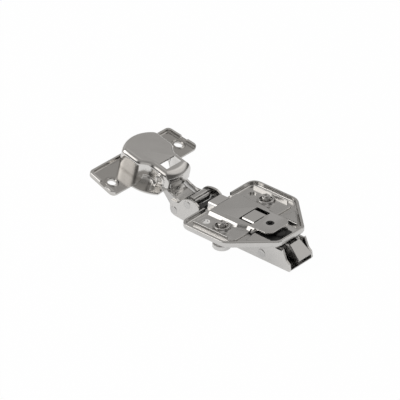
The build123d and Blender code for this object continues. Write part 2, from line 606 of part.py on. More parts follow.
with BuildPart() as release_lever:
    # the slanted thumb face, narrowing to its foot
    face_plane = Plane(origin=((TX + FX) / 2, 0, (TZ + FZ) / 2), x_dir=(0, 1, 0),
                       z_dir=(-INWARD[0], 0, -INWARD[1]))
    with BuildSketch(face_plane):
        with BuildLine():
            Polyline((-LEVER_TOP_HALF, -slope / 2), (LEVER_TOP_HALF, -slope / 2),
                     (LEVER_FOOT_HALF, slope / 2), (-LEVER_FOOT_HALF, slope / 2), close=True)
        make_face()
    extrude(amount=-LEVER_SHEET)
    slab_pair([BACK_TOP, (TX - 3.2, TZ), (LX - 2.2, LZ + 2.4), (LX - 2.2, LZ - 1.4),
               (LX - 0.6, LZ - 2.4), (LX + 3.0, LZ - 2.0), (BACK_FOOT[0] - 1.6, BACK_FOOT[1]),
               BACK_FOOT], FLANGE_OUTER - LEVER_SHEET, FLANGE_OUTER)
    disc(LEVER_PIN, LEVER_PIN_R + RUNNING, -ARM_HALF, ARM_HALF, mode=Mode.SUBTRACT)
finish(release_lever, "release_lever")

with BuildPart() as lever_pin:
    disc(LEVER_PIN, LEVER_PIN_R, -CHANNEL_HALF, CHANNEL_HALF)
    chamfer(lever_pin.edges().filter_by(GeomType.CIRCLE), 0.2)
finish(lever_pin, "lever_pin")


def wound_rings(centre, coil_r, wire_r, y_first, count):
    """A close-wound coil about (X, Z) as rings of wire that just run into each other."""
    spacing = COIL_SPACING * 2 * wire_r
    with BuildSketch(Plane(origin=(centre[0], 0, centre[1]))) as section:
        for turn in range(count):
            with Locations((coil_r, y_first + turn * spacing)):
                RegularPolygon(wire_r, 8)
    revolve(section.sketch, axis=Axis((centre[0], 0, centre[1]), (0, 1, 0)))
    return y_first + (count - 1) * spacing


def spoke(centre, y, inner_r, tip):
    """Both ends of a leg that leaves a coil outwards, in the direction of its tip."""
    reach = hypot(*tip)
    start = (centre[0] + tip[0] * inner_r / reach, y, centre[1] + tip[1] * inner_r / reach)
    return start, (centre[0] + tip[0], y, centre[1] + tip[1])


with BuildPart() as lever_spring:
    coil_r = LEVER_PIN_R + 0.6
    last_y = wound_rings(LEVER_PIN, coil_r, 0.3, -0.9, 4)
    rod(*spoke(LEVER_PIN, -0.9, coil_r, LEVER_SPRING_TIPS[0]), 0.3)
    rod(*spoke(LEVER_PIN, last_y, coil_r, LEVER_SPRING_TIPS[1]), 0.3)
finish(lever_spring, "lever_spring")

# =========================================================================================
# Cup and its bent axle
# =========================================================================================
def cup_outline(inset, height):
    """Plan of the drawn cup: a disc with two pairs of flats joined by soft bends."""
    radius, flat, nose = CUP_R - inset, CUP_FLAT - inset, CUP_NOSE_FLAT - inset
    across, along = CUP_FLAT - CUP_NOSE_FLAT, CUP_BEND_END - CUP_BEND_START
    bend_r = (across ** 2 + along ** 2) / (4 * across)
    turn_x = along / (2 * bend_r)
    turn_y = 1 - across / (2 * bend_r)
    middle = (CUP_BEND_START + (bend_r - inset) * turn_x,
              CUP_FLAT - bend_r + (bend_r - inset) * turn_y)
    back_x, nose_x = -sqrt(radius ** 2 - flat ** 2), sqrt(radius ** 2 - nose ** 2)
    with BuildSketch(cup_plane(height)) as outline:
        with BuildLine():
            for side in (-1, 1):
                start, end = (CUP_BEND_START, side * flat), (CUP_BEND_END, side * nose)
                half_way = (middle[0], side * middle[1])
                Line((back_x, side * flat), start)
                TangentArc(start, half_way, tangent=(1, 0))
                TangentArc(end, half_way, tangent=(-1, 0))
                Line(end, (nose_x, side * nose))
            ThreePointArc((nose_x, -nose), (radius, 0), (nose_x, nose))
            ThreePointArc((back_x, -flat), (-radius, 0), (back_x, flat))
        make_face()
    return outline.sketch


def nose_corner(inset):
    """What the gentler roll takes off the front edge of the nose, round the cup's axis."""
    reach, top, radius = CUP_R - inset, CUP_DEPTH - inset, CUP_NOSE_EDGE_R - inset
    middle = (reach - radius + radius * cos(radians(45)), top - radius + radius * sin(radians(45)))
    back = reach - radius - 3.5
    with BuildPart() as corner:
        with BuildSketch(Plane.XZ):
            with BuildLine():
                ThreePointArc((reach - radius, top), middle, (reach, top - radius))
                Polyline((reach, top - radius), (reach + 2, top - radius), (reach + 2, top + 2),
                         (reach - radius, top + 2), (reach - radius, top))
            make_face()
        revolve(axis=Axis.Z)
        with Locations(((back + reach + 3) / 2, 0, top)):
            Box(reach + 3 - back, 2 * CUP_R, 2 * CUP_DEPTH, mode=Mode.INTERSECT)
    return cup_plane().location * corner.part


def cup_body(inset, low, high, edge_r):
    """The cup above its skirt, with a rolled edge built from short conical bands."""
    sections = [cup_outline(inset, low)]
    for step in range(CUP_EDGE_STEPS + 1):
        turn = radians(90 * step / (CUP_EDGE_STEPS + 0.5))
        sections.append(cup_outline(inset + edge_r * (1 - cos(turn)),
                                    high - edge_r + edge_r * sin(turn)))
    sections[-1] = cup_outline(inset + edge_r * (1 - cos(turn)), high)
    with BuildPart() as body:
        loft(sections, ruled=True)
        add(nose_corner(inset), mode=Mode.SUBTRACT)
    return body.part


def cup_skirt(inset, low):
    """The round lip at the mouth and the sloping ledge above it."""
    radius = CUP_R - inset
    ledge = SKIRT_TOP - inset
    section = [(0, low), (radius, low), (radius, SKIRT_LIP - inset / 3),
               (radius - 0.5, ledge - 0.7), (radius - 3.0, ledge), (0, ledge)]
    with BuildPart() as skirt:
        with BuildSketch(Plane.XZ):
            with BuildLine():
                Polyline(*section, close=True)
            make_face()
        revolve(axis=Axis.Z)
    return cup_plane().location * skirt.part


with BuildPart() as hinge_cup:
    add(cup_body(0, 0, CUP_DEPTH, CUP_EDGE_R))
    # flared skirt that fills the round bore
    add(cup_skirt(0, 0))
    # flange with turned-up rims
    with BuildSketch(cup_plane(0)) as flange_plan:
        with BuildLine():
            Polyline((FLANGE_BACK, -FLANGE_HALF_BACK), (FLANGE_FRONT, -FLANGE_HALF_FRONT),
                     (FLANGE_FRONT, FLANGE_HALF_FRONT), (FLANGE_BACK, FLANGE_HALF_BACK),
                     close=True)
        make_face()
        fillet(flange_plan.vertices(), 3.0)
    extrude(amount=FLANGE_SHEET)
    with BuildSketch(cup_plane(0)) as rim_plan:
        with BuildLine():
            Polyline((FLANGE_BACK, -FLANGE_HALF_BACK), (FLANGE_FRONT, -FLANGE_HALF_FRONT),
                     (FLANGE_FRONT, FLANGE_HALF_FRONT), (FLANGE_BACK, FLANGE_HALF_BACK),
                     close=True)
        make_face()
        fillet(rim_plan.vertices(), 3.0)
        with BuildLine():
            Polyline((FLANGE_BACK + FLANGE_RIM, FLANGE_RIM - FLANGE_HALF_BACK),
                     (FLANGE_FRONT + 4, FLANGE_RIM - FLANGE_HALF_FRONT),
                     (FLANGE_FRONT + 4, FLANGE_HALF_FRONT - FLANGE_RIM),
                     (FLANGE_BACK + FLANGE_RIM, FLANGE_HALF_BACK - FLANGE_RIM), close=True)
        make_face(mode=Mode.SUBTRACT)
    extrude(amount=FLANGE_RIM_TOP)
    # everything inside the mouth is open
    add(cup_body(CUP_WALL, -1, CUP_DEPTH - CUP_WALL, CUP_EDGE_R - CUP_WALL), mode=Mode.SUBTRACT)
    add(cup_skirt(CUP_WALL, -1), mode=Mode.SUBTRACT)
    # notch in each end rim, and a screw hole in its raised collar
    for side in (-1, 1):
        with BuildSketch(cup_plane(FLANGE_SHEET)):
            with Locations((FLANGE_HOLE_X - 1.0, side * (FLANGE_HALF_BACK + 1))):
                Rectangle(4.0, 5.0)
        extrude(amount=3, mode=Mode.SUBTRACT)
        with BuildSketch(cup_plane(FLANGE_SHEET)):
            with Locations((FLANGE_HOLE_X, side * FLANGE_HOLE_PITCH / 2)):
                Circle(FLANGE_COLLAR_R)
        extrude(amount=0.45)
        with BuildSketch(cup_plane(-1)):
            with Locations((FLANGE_HOLE_X, side * FLANGE_HOLE_PITCH / 2)):
                Circle(FLANGE_HOLE_R)
        extrude(amount=4, mode=Mode.SUBTRACT)
        # boss round the axle's end
        low, high = sorted((side * (CUP_NOSE_FLAT - 0.3), side * (CUP_NOSE_FLAT + 0.35)))
        disc(INNER_PIN, 2.5, low, high)
    # the nose is cut away towards the mouth, where the links come out
    with BuildSketch(cup_plane(-1)):
        with Locations((NOSE_CUT_X + 3, 0)):
            Rectangle(6, 2 * CUP_NOSE_FLAT + 6)
    extrude(amount=1 + NOSE_CUT_TOP, mode=Mode.SUBTRACT)
    # clearance window in the bottom
    with BuildSketch(cup_plane(CUP_DEPTH - CUP_WALL - 1)):
        with Locations((CUP_R - (WINDOW_BACK[0] + WINDOW_BACK[1]) / 2, 0)):
            Rectangle(WINDOW_BACK[0] - WINDOW_BACK[1], 2 * WINDOW_HALF)
    extrude(amount=3, mode=Mode.SUBTRACT)
    for pin in (INNER_PIN, OUTER_PIN):
        disc(pin, CUP_PIN_R + PRESS, -CUP_R, CUP_R, mode=Mode.SUBTRACT)
finish(hinge_cup, "hinge_cup")

axle_gap = hypot(OUTER_PIN[0] - INNER_PIN[0], OUTER_PIN[1] - INNER_PIN[1])
axle_end = CUP_NOSE_FLAT + 0.45
with BuildPart() as cup_axle:
    with BuildLine() as axle_path:
        near_leg = Line((INNER_PIN[0], -axle_end, INNER_PIN[1]),
                        (INNER_PIN[0], axle_end, INNER_PIN[1]))
        middle = ((INNER_PIN[0] + OUTER_PIN[0]) / 2, axle_end + axle_gap / 2,
                  (INNER_PIN[1] + OUTER_PIN[1]) / 2)
        ThreePointArc(near_leg @ 1, middle, (OUTER_PIN[0], axle_end, OUTER_PIN[1]))
        Line((OUTER_PIN[0], axle_end, OUTER_PIN[1]), (OUTER_PIN[0], -axle_end, OUTER_PIN[1]))
    with BuildSketch(Plane(origin=near_leg @ 0, z_dir=near_leg % 0)):
        Circle(CUP_PIN_R)
    sweep()
finish(cup_axle, "cup_axle")

# =========================================================================================
# Links
# =========================================================================================
PX, PZ = OUTER_PIN
CHEEK = [(PX + 1.5, PZ + 1.1), (-42.9, -2.6), (-39.9, -4.1), (-37.3, -5.0), (-35.6, -6.0),
         (-35.1, -8.5), (BX + 2.3, BZ - 0.8), (BX - 1.7, BZ - 1.7), (BX - 2.35, BZ + 0.4),
         (BX - 6.6, BZ + 5.4), (PX - 1.35, PZ - 1.3)]
CHEEK_INNER = CHEEK_OUTER - LINK_SHEET

with BuildPart() as outer_link:
    slab_pair(CHEEK, CHEEK_INNER, CHEEK_OUTER)
    for low, high in ((-CHEEK_OUTER, -CHEEK_INNER), (CHEEK_INNER, CHEEK_OUTER)):
        disc(OUTER_PIN, 1.9, low, high)
        disc(PIVOT_B, 2.4, low, high)
    # the web passes under the front rivet
    slab([(BX - 2.75, BZ + 0.7), (BX - 2.6, BZ - 1.4), (BX - 1.2, BZ - 2.6), (BX + 1.4, BZ - 2.5),
          (BX + 1.3, BZ - 1.5), (BX - 0.7, BZ - 1.6), (BX - 1.6, BZ - 0.8), (BX - 1.7, BZ + 0.7)],
         -CHEEK_OUTER, CHEEK_OUTER)
    disc(OUTER_PIN, CUP_PIN_R + RUNNING, -ARM_HALF, ARM_HALF, mode=Mode.SUBTRACT)
    disc(PIVOT_B, RIVET_B_R + RUNNING, -ARM_HALF, ARM_HALF, mode=Mode.SUBTRACT)
finish(outer_link, "outer_link")

QX, QZ = INNER_PIN
LINK_SECTION = [
    # upper face, from the eye in the cup to the curl on the arm
    (QX - 1.1, QZ - 1.5), (QX - 1.2, QZ - 3.1), (QX - 1.1, QZ - 5.0), (QX - 0.4, QZ - 6.2),
    (QX + 0.6, QZ - 6.6), (-44.5, -3.6), (-41.9, -5.2), (-40.1, -5.6), (-38.7, -6.1),
    (-37.5, -6.5), (-36.2, -6.7), (-34.4, -6.2), (-32.6, -4.9), (AX - 2.0, AZ + 2.0),
    # lower face, back to the eye
    (AX - 1.0, AZ - 2.6), (-33.2, -7.5), (-34.6, -8.0), (-36.4, -8.0), (-37.8, -7.7),
    (-39.0, -7.2), (-40.5, -6.65), (-42.4, -6.3), (-44.9, -4.9), (QX + 0.4, QZ - 7.9),
    (QX - 1.1, QZ - 7.2), (QX - 2.2, QZ - 5.5), (QX - 2.4, QZ - 3.0), (QX - 1.9, QZ - 0.2)]

with BuildPart() as inner_link:
    slab(LINK_SECTION, -WEB_HALF, WEB_HALF)
    disc(INNER_PIN, 1.95, -WEB_HALF, WEB_HALF)
    disc(PIVOT_A, CURL_R, -WEB_HALF, WEB_HALF)
    disc(INNER_PIN, CUP_PIN_R + RUNNING, -ARM_HALF, ARM_HALF, mode=Mode.SUBTRACT)
    # slot in the curl: the play of the upper pivot
    with BuildSketch(Plane.XZ.offset(-ARM_HALF)):
        with Locations((AX + CURL_PLAY_MIDDLE[0], AZ + CURL_PLAY_MIDDLE[1])):
            SlotCenterToCenter(2 * CURL_PLAY, 2 * (RIVET_A_R + CURL_PLAY_SIDE),
                               rotation=CURL_PLAY_ANGLE)
    extrude(amount=2 * ARM_HALF, mode=Mode.SUBTRACT)
finish(inner_link, "inner_link")

with BuildPart() as closing_spring:
    inner_y = WEB_HALF + SPRING_WIRE_R + 0.12
    outer_y = wound_rings(PIVOT_A, SPRING_COIL_R, SPRING_WIRE_R, inner_y, SPRING_RINGS)
    rod(*spoke(PIVOT_A, inner_y, SPRING_COIL_R, SPRING_LEG), SPRING_WIRE_R)
    rod(*spoke(PIVOT_A, outer_y, SPRING_COIL_R, SPRING_BAR), SPRING_WIRE_R)
    disc((AX + SPRING_BAR[0], AZ + SPRING_BAR[1]), SPRING_WIRE_R + 0.02, -0.01,
         outer_y + SPRING_WIRE_R)
    mirror(about=Plane.XZ)
finish(closing_spring, "closing_spring")

# =========================================================================================
# Damper
# =========================================================================================
with BuildPart() as damper_housing:
    slab([(DAMPER_FRONT, ARM_FLOOR_TOP + SLIDING), (DAMPER_REAR, ARM_FLOOR_TOP + SLIDING),
          (DAMPER_REAR, -6.2), (-20.4, -5.5), (-21.2, DAMPER_TOP), (DAMPER_FRONT + 0.9, DAMPER_TOP),
          (DAMPER_FRONT, DAMPER_TOP - 0.9)], -DAMPER_HALF, DAMPER_HALF)
    with BuildSketch(Plane.YZ.offset(DAMPER_FRONT - 1)):
        with Locations((0, DAMPER_AXIS_Z)):
            Circle(DAMPER_BORE_R)
    extrude(amount=DAMPER_REAR - DAMPER_FRONT + 0.2, mode=Mode.SUBTRACT)
finish(damper_housing, "damper_housing")

with BuildPart() as damper_cylinder:
    with BuildSketch(Plane.YZ.offset(DAMPER_FRONT + 0.3)):
        with Locations((0, DAMPER_AXIS_Z)):
            Circle(DAMPER_BORE_R - 0.02)
    extrude(amount=DAMPER_REAR - DAMPER_FRONT - 1.2)
    with BuildSketch(Plane.YZ.offset(DAMPER_FRONT)):
        with Locations((0, DAMPER_AXIS_Z)):
            Circle(DAMPER_ROD_R + RUNNING)
    extrude(amount=DAMPER_REAR - DAMPER_FRONT - 2.2, mode=Mode.SUBTRACT)
finish(damper_cylinder, "damper_cylinder")

with BuildPart() as damper_plunger:
    plunger_face = DAMPER_FRONT - DAMPER_STROKE - 0.4
    with BuildSketch(Plane.YZ.offset(plunger_face)):
        with Locations((0, DAMPER_AXIS_Z)):
            Circle(DAMPER_ROD_R)
    extrude(amount=DAMPER_STROKE + 1.4)
    with BuildSketch(Plane.YZ.offset(plunger_face - 1.6)) as head:
        with Locations((0, DAMPER_AXIS_Z)):
            RectangleRounded(9.0, 4.0, 1.2)
    extrude(amount=1.6)
finish(damper_plunger, "damper_plunger")
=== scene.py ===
# %% [markdown]
# # A concealed cup hinge in satin nickel
#
# A cup hinge hides inside a cupboard: the round cup sits in a bore in the door, the arm
# clips to a plate on the cabinet side, and two links carry the door round. Almost all of it
# is pressed steel sheet, nickel plated and tumbled to a satin sheen. This notebook takes the
# CAD model as a fixed frame and works on what makes sheet metal look like sheet metal: soft
# edges, a finish that changes a little from place to place, and a studio for it to reflect.

# %% The frame and its box
from math import acos, asin, atan2, cos, pi, radians, sin

import bmesh
import bpy
from mathutils import Matrix, Vector


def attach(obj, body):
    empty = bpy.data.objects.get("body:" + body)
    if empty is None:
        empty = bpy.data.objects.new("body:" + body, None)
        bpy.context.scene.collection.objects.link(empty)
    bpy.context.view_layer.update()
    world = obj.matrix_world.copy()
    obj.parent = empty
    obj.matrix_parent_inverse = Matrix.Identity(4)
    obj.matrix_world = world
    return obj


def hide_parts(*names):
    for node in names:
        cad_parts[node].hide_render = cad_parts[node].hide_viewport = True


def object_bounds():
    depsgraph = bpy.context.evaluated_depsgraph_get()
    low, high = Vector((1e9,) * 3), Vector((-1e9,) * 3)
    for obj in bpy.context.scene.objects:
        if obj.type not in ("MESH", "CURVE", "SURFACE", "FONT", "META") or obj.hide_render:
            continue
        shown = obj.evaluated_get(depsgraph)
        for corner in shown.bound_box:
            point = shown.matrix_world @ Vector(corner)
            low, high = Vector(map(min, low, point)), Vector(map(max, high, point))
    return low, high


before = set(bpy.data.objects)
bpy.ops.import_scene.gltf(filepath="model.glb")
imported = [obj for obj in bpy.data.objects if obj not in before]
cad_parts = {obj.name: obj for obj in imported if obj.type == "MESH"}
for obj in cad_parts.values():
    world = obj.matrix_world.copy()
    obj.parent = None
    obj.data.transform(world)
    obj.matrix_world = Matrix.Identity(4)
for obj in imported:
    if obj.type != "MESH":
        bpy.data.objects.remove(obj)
cad_box = [list(corner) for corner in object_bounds()]
MM = 0.001
FIXING_Y = 16.0                       # the two fixing screws stand 32 mm apart
print("CAD nodes:", len(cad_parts))

# %% [markdown]
# ## Camera
#
# A long lens keeps the parallel edges of a small product nearly parallel. The view is given
# by two angles, a distance, the picture scale at the origin, and where the origin lands in a
# picture of 400 by 400; from those five the place and the focal length follow.

# %% Camera
VIEW_AZIMUTH = radians(42.03)
VIEW_ELEVATION = radians(31.51)
VIEW_ROLL = radians(-0.32)
VIEW_DISTANCE = 1.5467
PIXELS_PER_METRE = 2091.1
ORIGIN_PIXEL = (244.02, 210.91)
PICTURE = 400

back = Vector((sin(VIEW_AZIMUTH) * cos(VIEW_ELEVATION),
               -cos(VIEW_AZIMUTH) * cos(VIEW_ELEVATION), sin(VIEW_ELEVATION)))
level_right = (-back).cross(Vector((0, 0, 1))).normalized()
level_up = level_right.cross(-back)
right = level_right * cos(VIEW_ROLL) + level_up * sin(VIEW_ROLL)
up = level_up * cos(VIEW_ROLL) - level_right * sin(VIEW_ROLL)

camera = bpy.data.objects.new("camera", bpy.data.cameras.new("camera"))
bpy.context.collection.objects.link(camera)
camera.data.sensor_width = 36
camera.data.lens = 36 * PIXELS_PER_METRE * VIEW_DISTANCE / PICTURE
across = (ORIGIN_PIXEL[0] - PICTURE / 2) / PIXELS_PER_METRE
down = (ORIGIN_PIXEL[1] - PICTURE / 2) / PIXELS_PER_METRE
pose = Matrix.Identity(4)
for column, direction in enumerate((right, up, back)):
    for row in range(3):
        pose[row][column] = direction[row]
pose.translation = back * VIEW_DISTANCE - right * across + up * down
camera.matrix_world = pose
camera.data.clip_start = 0.01
camera.data.clip_end = 20
bpy.context.scene.camera = camera
bpy.context.scene.view_settings.view_transform = "Standard"
print("lens", round(camera.data.lens, 1), "mm")

# %% [markdown]
# ## Shader maths as plain expressions
#
# A finish is easier to read as a formula than as a wiring diagram. A small class wraps a
# socket so that `a * b + 0.2` adds the Math nodes, and one method makes every other node
# from its type, its settings and its inputs.

# %% Sockets that know arithmetic
class Wire:
    """A node socket that takes part in expressions."""

    def __init__(self, net, socket):
        self.net, self.socket = net, socket

    def maths(self, operation, first, second=0.0, clamp=False):
        return self.net.node("ShaderNodeMath", {"operation": operation, "use_clamp": clamp},
                             {0: first, 1: second})

    def __add__(self, other):
        return self.maths("ADD", self, other)

    def __sub__(self, other):
        return self.maths("SUBTRACT", self, other)

    def __rsub__(self, other):
        return self.maths("SUBTRACT", other, self)

    def __mul__(self, other):
        return self.maths("MULTIPLY", self, other)

    __radd__, __rmul__ = __add__, __mul__

    def clamped(self):
        return self.maths("ADD", self, 0.0, clamp=True)


class Net:
    """The node tree of one material or of the world."""

    def __init__(self, owner):
        owner.use_nodes = True
        self.owner, self.tree = owner, owner.node_tree
        self.tree.nodes.clear()

    def node(self, kind, settings=None, inputs=None, output=0):
        """Make a node: its type and settings first, then its values and links."""
        made = self.tree.nodes.new(kind)
        for key, value in (settings or {}).items():
            setattr(made, key, value)
        for key, value in (inputs or {}).items():
            if isinstance(value, Wire):
                self.tree.links.new(value.socket, made.inputs[key])
            else:
                made.inputs[key].default_value = value
        return Wire(self, made.outputs[output]) if len(made.outputs) else None

    def here(self):
        """Object coordinates in metres."""
        return self.node("ShaderNodeTexCoord", output="Object")

    def noise(self, vector, scale, detail=3.0, rough=0.55):
        return self.node("ShaderNodeTexNoise", {}, {"Vector": vector, "Scale": scale,
                                                    "Detail": detail, "Roughness": rough})

    def spread(self, value, low, high, to_low=0.0, to_high=1.0):
        """Carry a value from one range to another, clamped and eased."""
        return self.node("ShaderNodeMapRange", {"interpolation_type": "SMOOTHSTEP"},
                         {"Value": value, "From Min": low, "From Max": high,
                          "To Min": to_low, "To Max": to_high})

    def blend(self, factor, first, second):
        """Two colours, mixed by a mask."""
        return self.node("ShaderNodeMix", {"data_type": "RGBA"},
                         {"Factor": factor, 6: first, 7: second}, output=2)


print("node helpers ready")

# %% [markdown]
# ## The studio
#
# Polished metal is a picture of its surroundings, so the surroundings are painted with care.
# The sky is a sum of soft lobes, each a direction, a width and a strength: a dim one behind,
# which the level faces mirror as mid grey, a bright one to the left of the camera, which the
# rolled edges pick up as a white line, and weaker ones that open up the shadows. The floor
# is white to the camera, light grey to reflections, and keeps the hinge's soft shadow.

# %% World
def tone(level, warmth=0.0):
    """A near-grey colour; warmth shifts it from blue towards red."""
    return (level * (1 + warmth), level, level * (1 - 1.4 * warmth), 1.0)


SKY_BASE = 0.10
LOBES = [  # direction towards the light, cosine where it starts and where it is full, strength
    ((-0.50, 0.62, 0.60), 0.62, 0.92, 0.31),      # what level faces mirror: mid grey
    ((-0.57, -0.60, 0.56), 0.90, 0.975, 1.80),    # rolled near edges: a white line
    ((-0.57, -0.63, -0.52), 0.70, 0.93, 0.64),    # near walls: the pale table in front
    ((0.41, 0.63, 0.66), 0.84, 0.97, 0.62),       # the lever's thumb face
    ((0.39, -0.75, -0.52), 0.84, 0.97, 0.26),     # walls that turn towards the camera
    ((0.72, 0.62, -0.30), 0.74, 0.98, 0.30),      # rear walls: a pale wall behind
    ((0.68, -0.68, 0.26), 0.75, 0.98, 0.40),      # and one to the right
    ((0.00, -0.20, 0.98), 0.70, 0.98, 0.25),      # a little from straight above
    ((-0.90, -0.10, 0.20), 0.80, 0.98, 0.25),     # and from the left
]
world = bpy.data.worlds.new("studio")
bpy.context.scene.world = world
net = Net(world)
direction = net.node("ShaderNodeTexCoord", output="Generated")
level = None
for towards, start, full, strength in LOBES:
    facing = net.node("ShaderNodeVectorMath", {"operation": "DOT_PRODUCT"},
                      {0: direction, 1: Vector(towards).normalized()}, output="Value")
    lobe = net.spread(facing, start, full, 0.0, strength)
    level = lobe + SKY_BASE if level is None else level + lobe
paths = net.node("ShaderNodeLightPath", output="Is Camera Ray")
level = level * (1.0 - paths) + paths
colour = net.node("ShaderNodeCombineColor", {}, {"Red": level, "Green": level * 0.975,
                                                 "Blue": level * 0.945})
shine = net.node("ShaderNodeBackground", {}, {"Color": colour, "Strength": 1.0})
net.node("ShaderNodeOutputWorld", {}, {"Surface": shine})
print("sky lobes:", len(LOBES))

# %% Floor and lamps
FLOOR_SIZE = 1.6
FLOOR_GLOW, FLOOR_IN_METAL = 0.985, 0.62       # how white it is to the camera and in metal
floor_z = cad_box[0][2] - 0.00005


def plain_mesh(name, corners, faces):
    mesh = bpy.data.meshes.new(name)
    mesh.from_pydata(corners, [], faces)
    made = bpy.data.objects.new(name, mesh)
    bpy.context.collection.objects.link(made)
    return made


half = FLOOR_SIZE / 2
floor = plain_mesh("floor", [(-half, -half, floor_z), (half, -half, floor_z),
                             (half, half, floor_z), (-half, half, floor_z)], [(0, 1, 2, 3)])
net = Net(bpy.data.materials.new("floor"))
paper = net.node("ShaderNodeBsdfDiffuse", {}, {"Color": tone(0.86, 0.01)})
glow = net.node("ShaderNodeEmission", {}, {"Color": tone(1.0), "Strength": 1.0})
paths = net.node("ShaderNodeLightPath", output="Is Camera Ray")
glossy = net.node("ShaderNodeLightPath", output="Is Glossy Ray")
passing = net.node("ShaderNodeLightPath", output="Is Transmission Ray")
seen = (paths * FLOOR_GLOW + glossy * FLOOR_IN_METAL + passing * FLOOR_IN_METAL).clamped()
mixed = net.node("ShaderNodeMixShader", {}, {0: seen, 1: paper, 2: glow})
net.node("ShaderNodeOutputMaterial", {}, {"Surface": mixed})
floor.data.materials.append(net.owner)


def softbox(name, towards, distance, size, watts):
    """A square lamp that looks at the hinge from this direction."""
    lamp = bpy.data.objects.new(name, bpy.data.lights.new(name, "AREA"))
    bpy.context.collection.objects.link(lamp)
    lamp.data.size = size
    lamp.data.energy = watts
    aim = Vector(towards).normalized()
    lamp.location = aim * distance
    lamp.rotation_euler = aim.to_track_quat("Z", "Y").to_euler()
    lamp.visible_glossy = False
    return lamp


softbox("key", towards=(-0.45, -0.45, 0.77), distance=0.8, size=0.40, watts=2.2)
print("floor at", round(floor_z / MM, 2), "mm")

# %% [markdown]
# ## Finishes
#
# Nickel over tumbled steel is one recipe with a few dials. A slow noise clouds the colour
# and the gloss, and a fine one gives the grain. Edges are rubbed brighter and smoother, as
# tumbling does. On plain CAD shapes a bevel node rounds every edge by a fraction of a
# millimetre, and an edge is where the rounded normal leaves the flat one. Shapes built with
# real rolls need no bevel, and their edges are found by how pointed the surface is.

# %% Nickel and steel
CLOUD_SCALE, BLOTCH_SCALE, GRAIN_SCALE, GRAIN_DEPTH = 90, 350, 2600, 0.00002


def nickel(name, level, warmth, gloss, edge=0.22, shade_below=None):
    """Nickel over steel; the last argument gives a direction and two heights along it, in mm,
    below which painted shade darkens the colour.
    """
    net = Net(bpy.data.materials.new(name))
    soft = flat = net.node("ShaderNodeNewGeometry", output="Normal")
    if edge:
        soft = net.node("ShaderNodeBevel", {"samples": 6}, {"Radius": edge * MM})
        facing = net.node("ShaderNodeVectorMath", {"operation": "DOT_PRODUCT"},
                          {0: soft, 1: flat}, output="Value")
        rubbed = net.spread(1.0 - facing, 0.03, 0.30)
    else:
        pointed = net.node("ShaderNodeNewGeometry", output="Pointiness")
        rubbed = net.spread(pointed, 0.52, 0.60)
    cloud = net.noise(net.here(), CLOUD_SCALE, 4)
    blotch = net.noise(net.here(), BLOTCH_SCALE, 3)
    grain = net.noise(net.here(), GRAIN_SCALE, 2)
    dull = net.blend(cloud, tone(level * 0.90, warmth), tone(level * 1.04, warmth * 0.7))
    spotted_and_shaded = net.blend(net.spread(blotch, 0.35, 0.75, 0.0, 0.175), dull,
                        tone(level * 0.82, warmth * 1.6))
    # Painted shade: towards and below the lower height the colour darkens to 0.76 of the level.
    if shade_below:
        along, low, high = shade_below
        height = net.node("ShaderNodeVectorMath", {"operation": "DOT_PRODUCT"},
                          {0: net.here(), 1: along}, output="Value")
        spotted_and_shaded = net.blend(net.spread(height, high * MM, low * MM), spotted_and_shaded,
                            tone(level * 0.76, warmth * 1.5))
    colour = net.blend(rubbed * 0.7, spotted_and_shaded, tone(min(1.0, level * 1.22), warmth * 0.5))
    rough = gloss + (cloud - 0.5) * 0.10 + (grain - 0.5) * 0.05 - rubbed * gloss * 0.3
    bumped = net.node("ShaderNodeBump", {}, {"Strength": 0.06, "Distance": GRAIN_DEPTH,
                                             "Height": grain, "Normal": soft})
    shader = net.node("ShaderNodeBsdfPrincipled", {}, {
        "Base Color": colour, "Roughness": rough.clamped(), "Metallic": 1.0,
        "Normal": bumped})
    net.node("ShaderNodeOutputMaterial", {}, {"Surface": shader})
    return net.owner


CUP_TILT = radians(14)
CUP_AXIS = Vector((sin(CUP_TILT), 0, cos(CUP_TILT)))
FLANGE_LEVELS = (-14.2, -12.4)        # along the cup's axis; the flange lies below them, and painted shade darkens the cup there
finishes = {
    "plate_steel": nickel("satin nickel, base plate", 0.68, 0.012, 0.20, edge=0),
    "wing_steel": nickel("satin nickel, wing plate", 0.66, 0.014, 0.22, edge=0),
    "channel_steel": nickel("satin nickel, channel", 0.60, 0.012, 0.26),
    "arm_steel": nickel("satin nickel, arm", 0.68, 0.018, 0.22),
    # The cup's finish paints shade on its flange and round its mouth.
    "cup_steel": nickel("satin nickel, cup", 0.74, 0.016, 0.15, edge=0,
                        shade_below=(CUP_AXIS, *FLANGE_LEVELS)),
    "link_steel": nickel("satin nickel, links", 0.64, 0.012, 0.20),
    "pin_steel": nickel("bright steel, pins", 0.62, 0.010, 0.24),
    "rivet_steel": nickel("bright steel, rivets", 0.62, 0.012, 0.26, edge=0),
    "spring_steel": nickel("spring steel", 0.34, 0.02, 0.30, edge=0),
    "lever_zinc": nickel("nickel, lever", 0.66, 0.010, 0.33, edge=0.28),
    "screw_steel": nickel("nickel, screws", 0.66, 0.012, 0.24, edge=0),
}
print("metal finishes:", len(finishes))


# %% Plastics
def moulded(name, level, gloss=0.45, skin_strength=0.25):
    """A moulded plastic with a fine spark-eroded skin."""
    net = Net(bpy.data.materials.new(name))
    soft = net.node("ShaderNodeBevel", {"samples": 4}, {"Radius": 0.15 * MM})
    cloud = net.noise(net.here(), 160, 3)
    skin = net.noise(net.here(), 5200, 2)
    colour = net.blend(cloud, tone(level * 0.8), tone(level * 1.25))
    bumped = net.node("ShaderNodeBump", {}, {"Strength": skin_strength, "Distance": GRAIN_DEPTH,
                                             "Height": skin, "Normal": soft})
    shader = net.node("ShaderNodeBsdfPrincipled", {}, {
        "Base Color": colour, "Roughness": gloss + (cloud - 0.5) * 0.15,
        "Specular IOR Level": 0.5, "Normal": bumped})
    net.node("ShaderNodeOutputMaterial", {}, {"Surface": shader})
    return net.owner


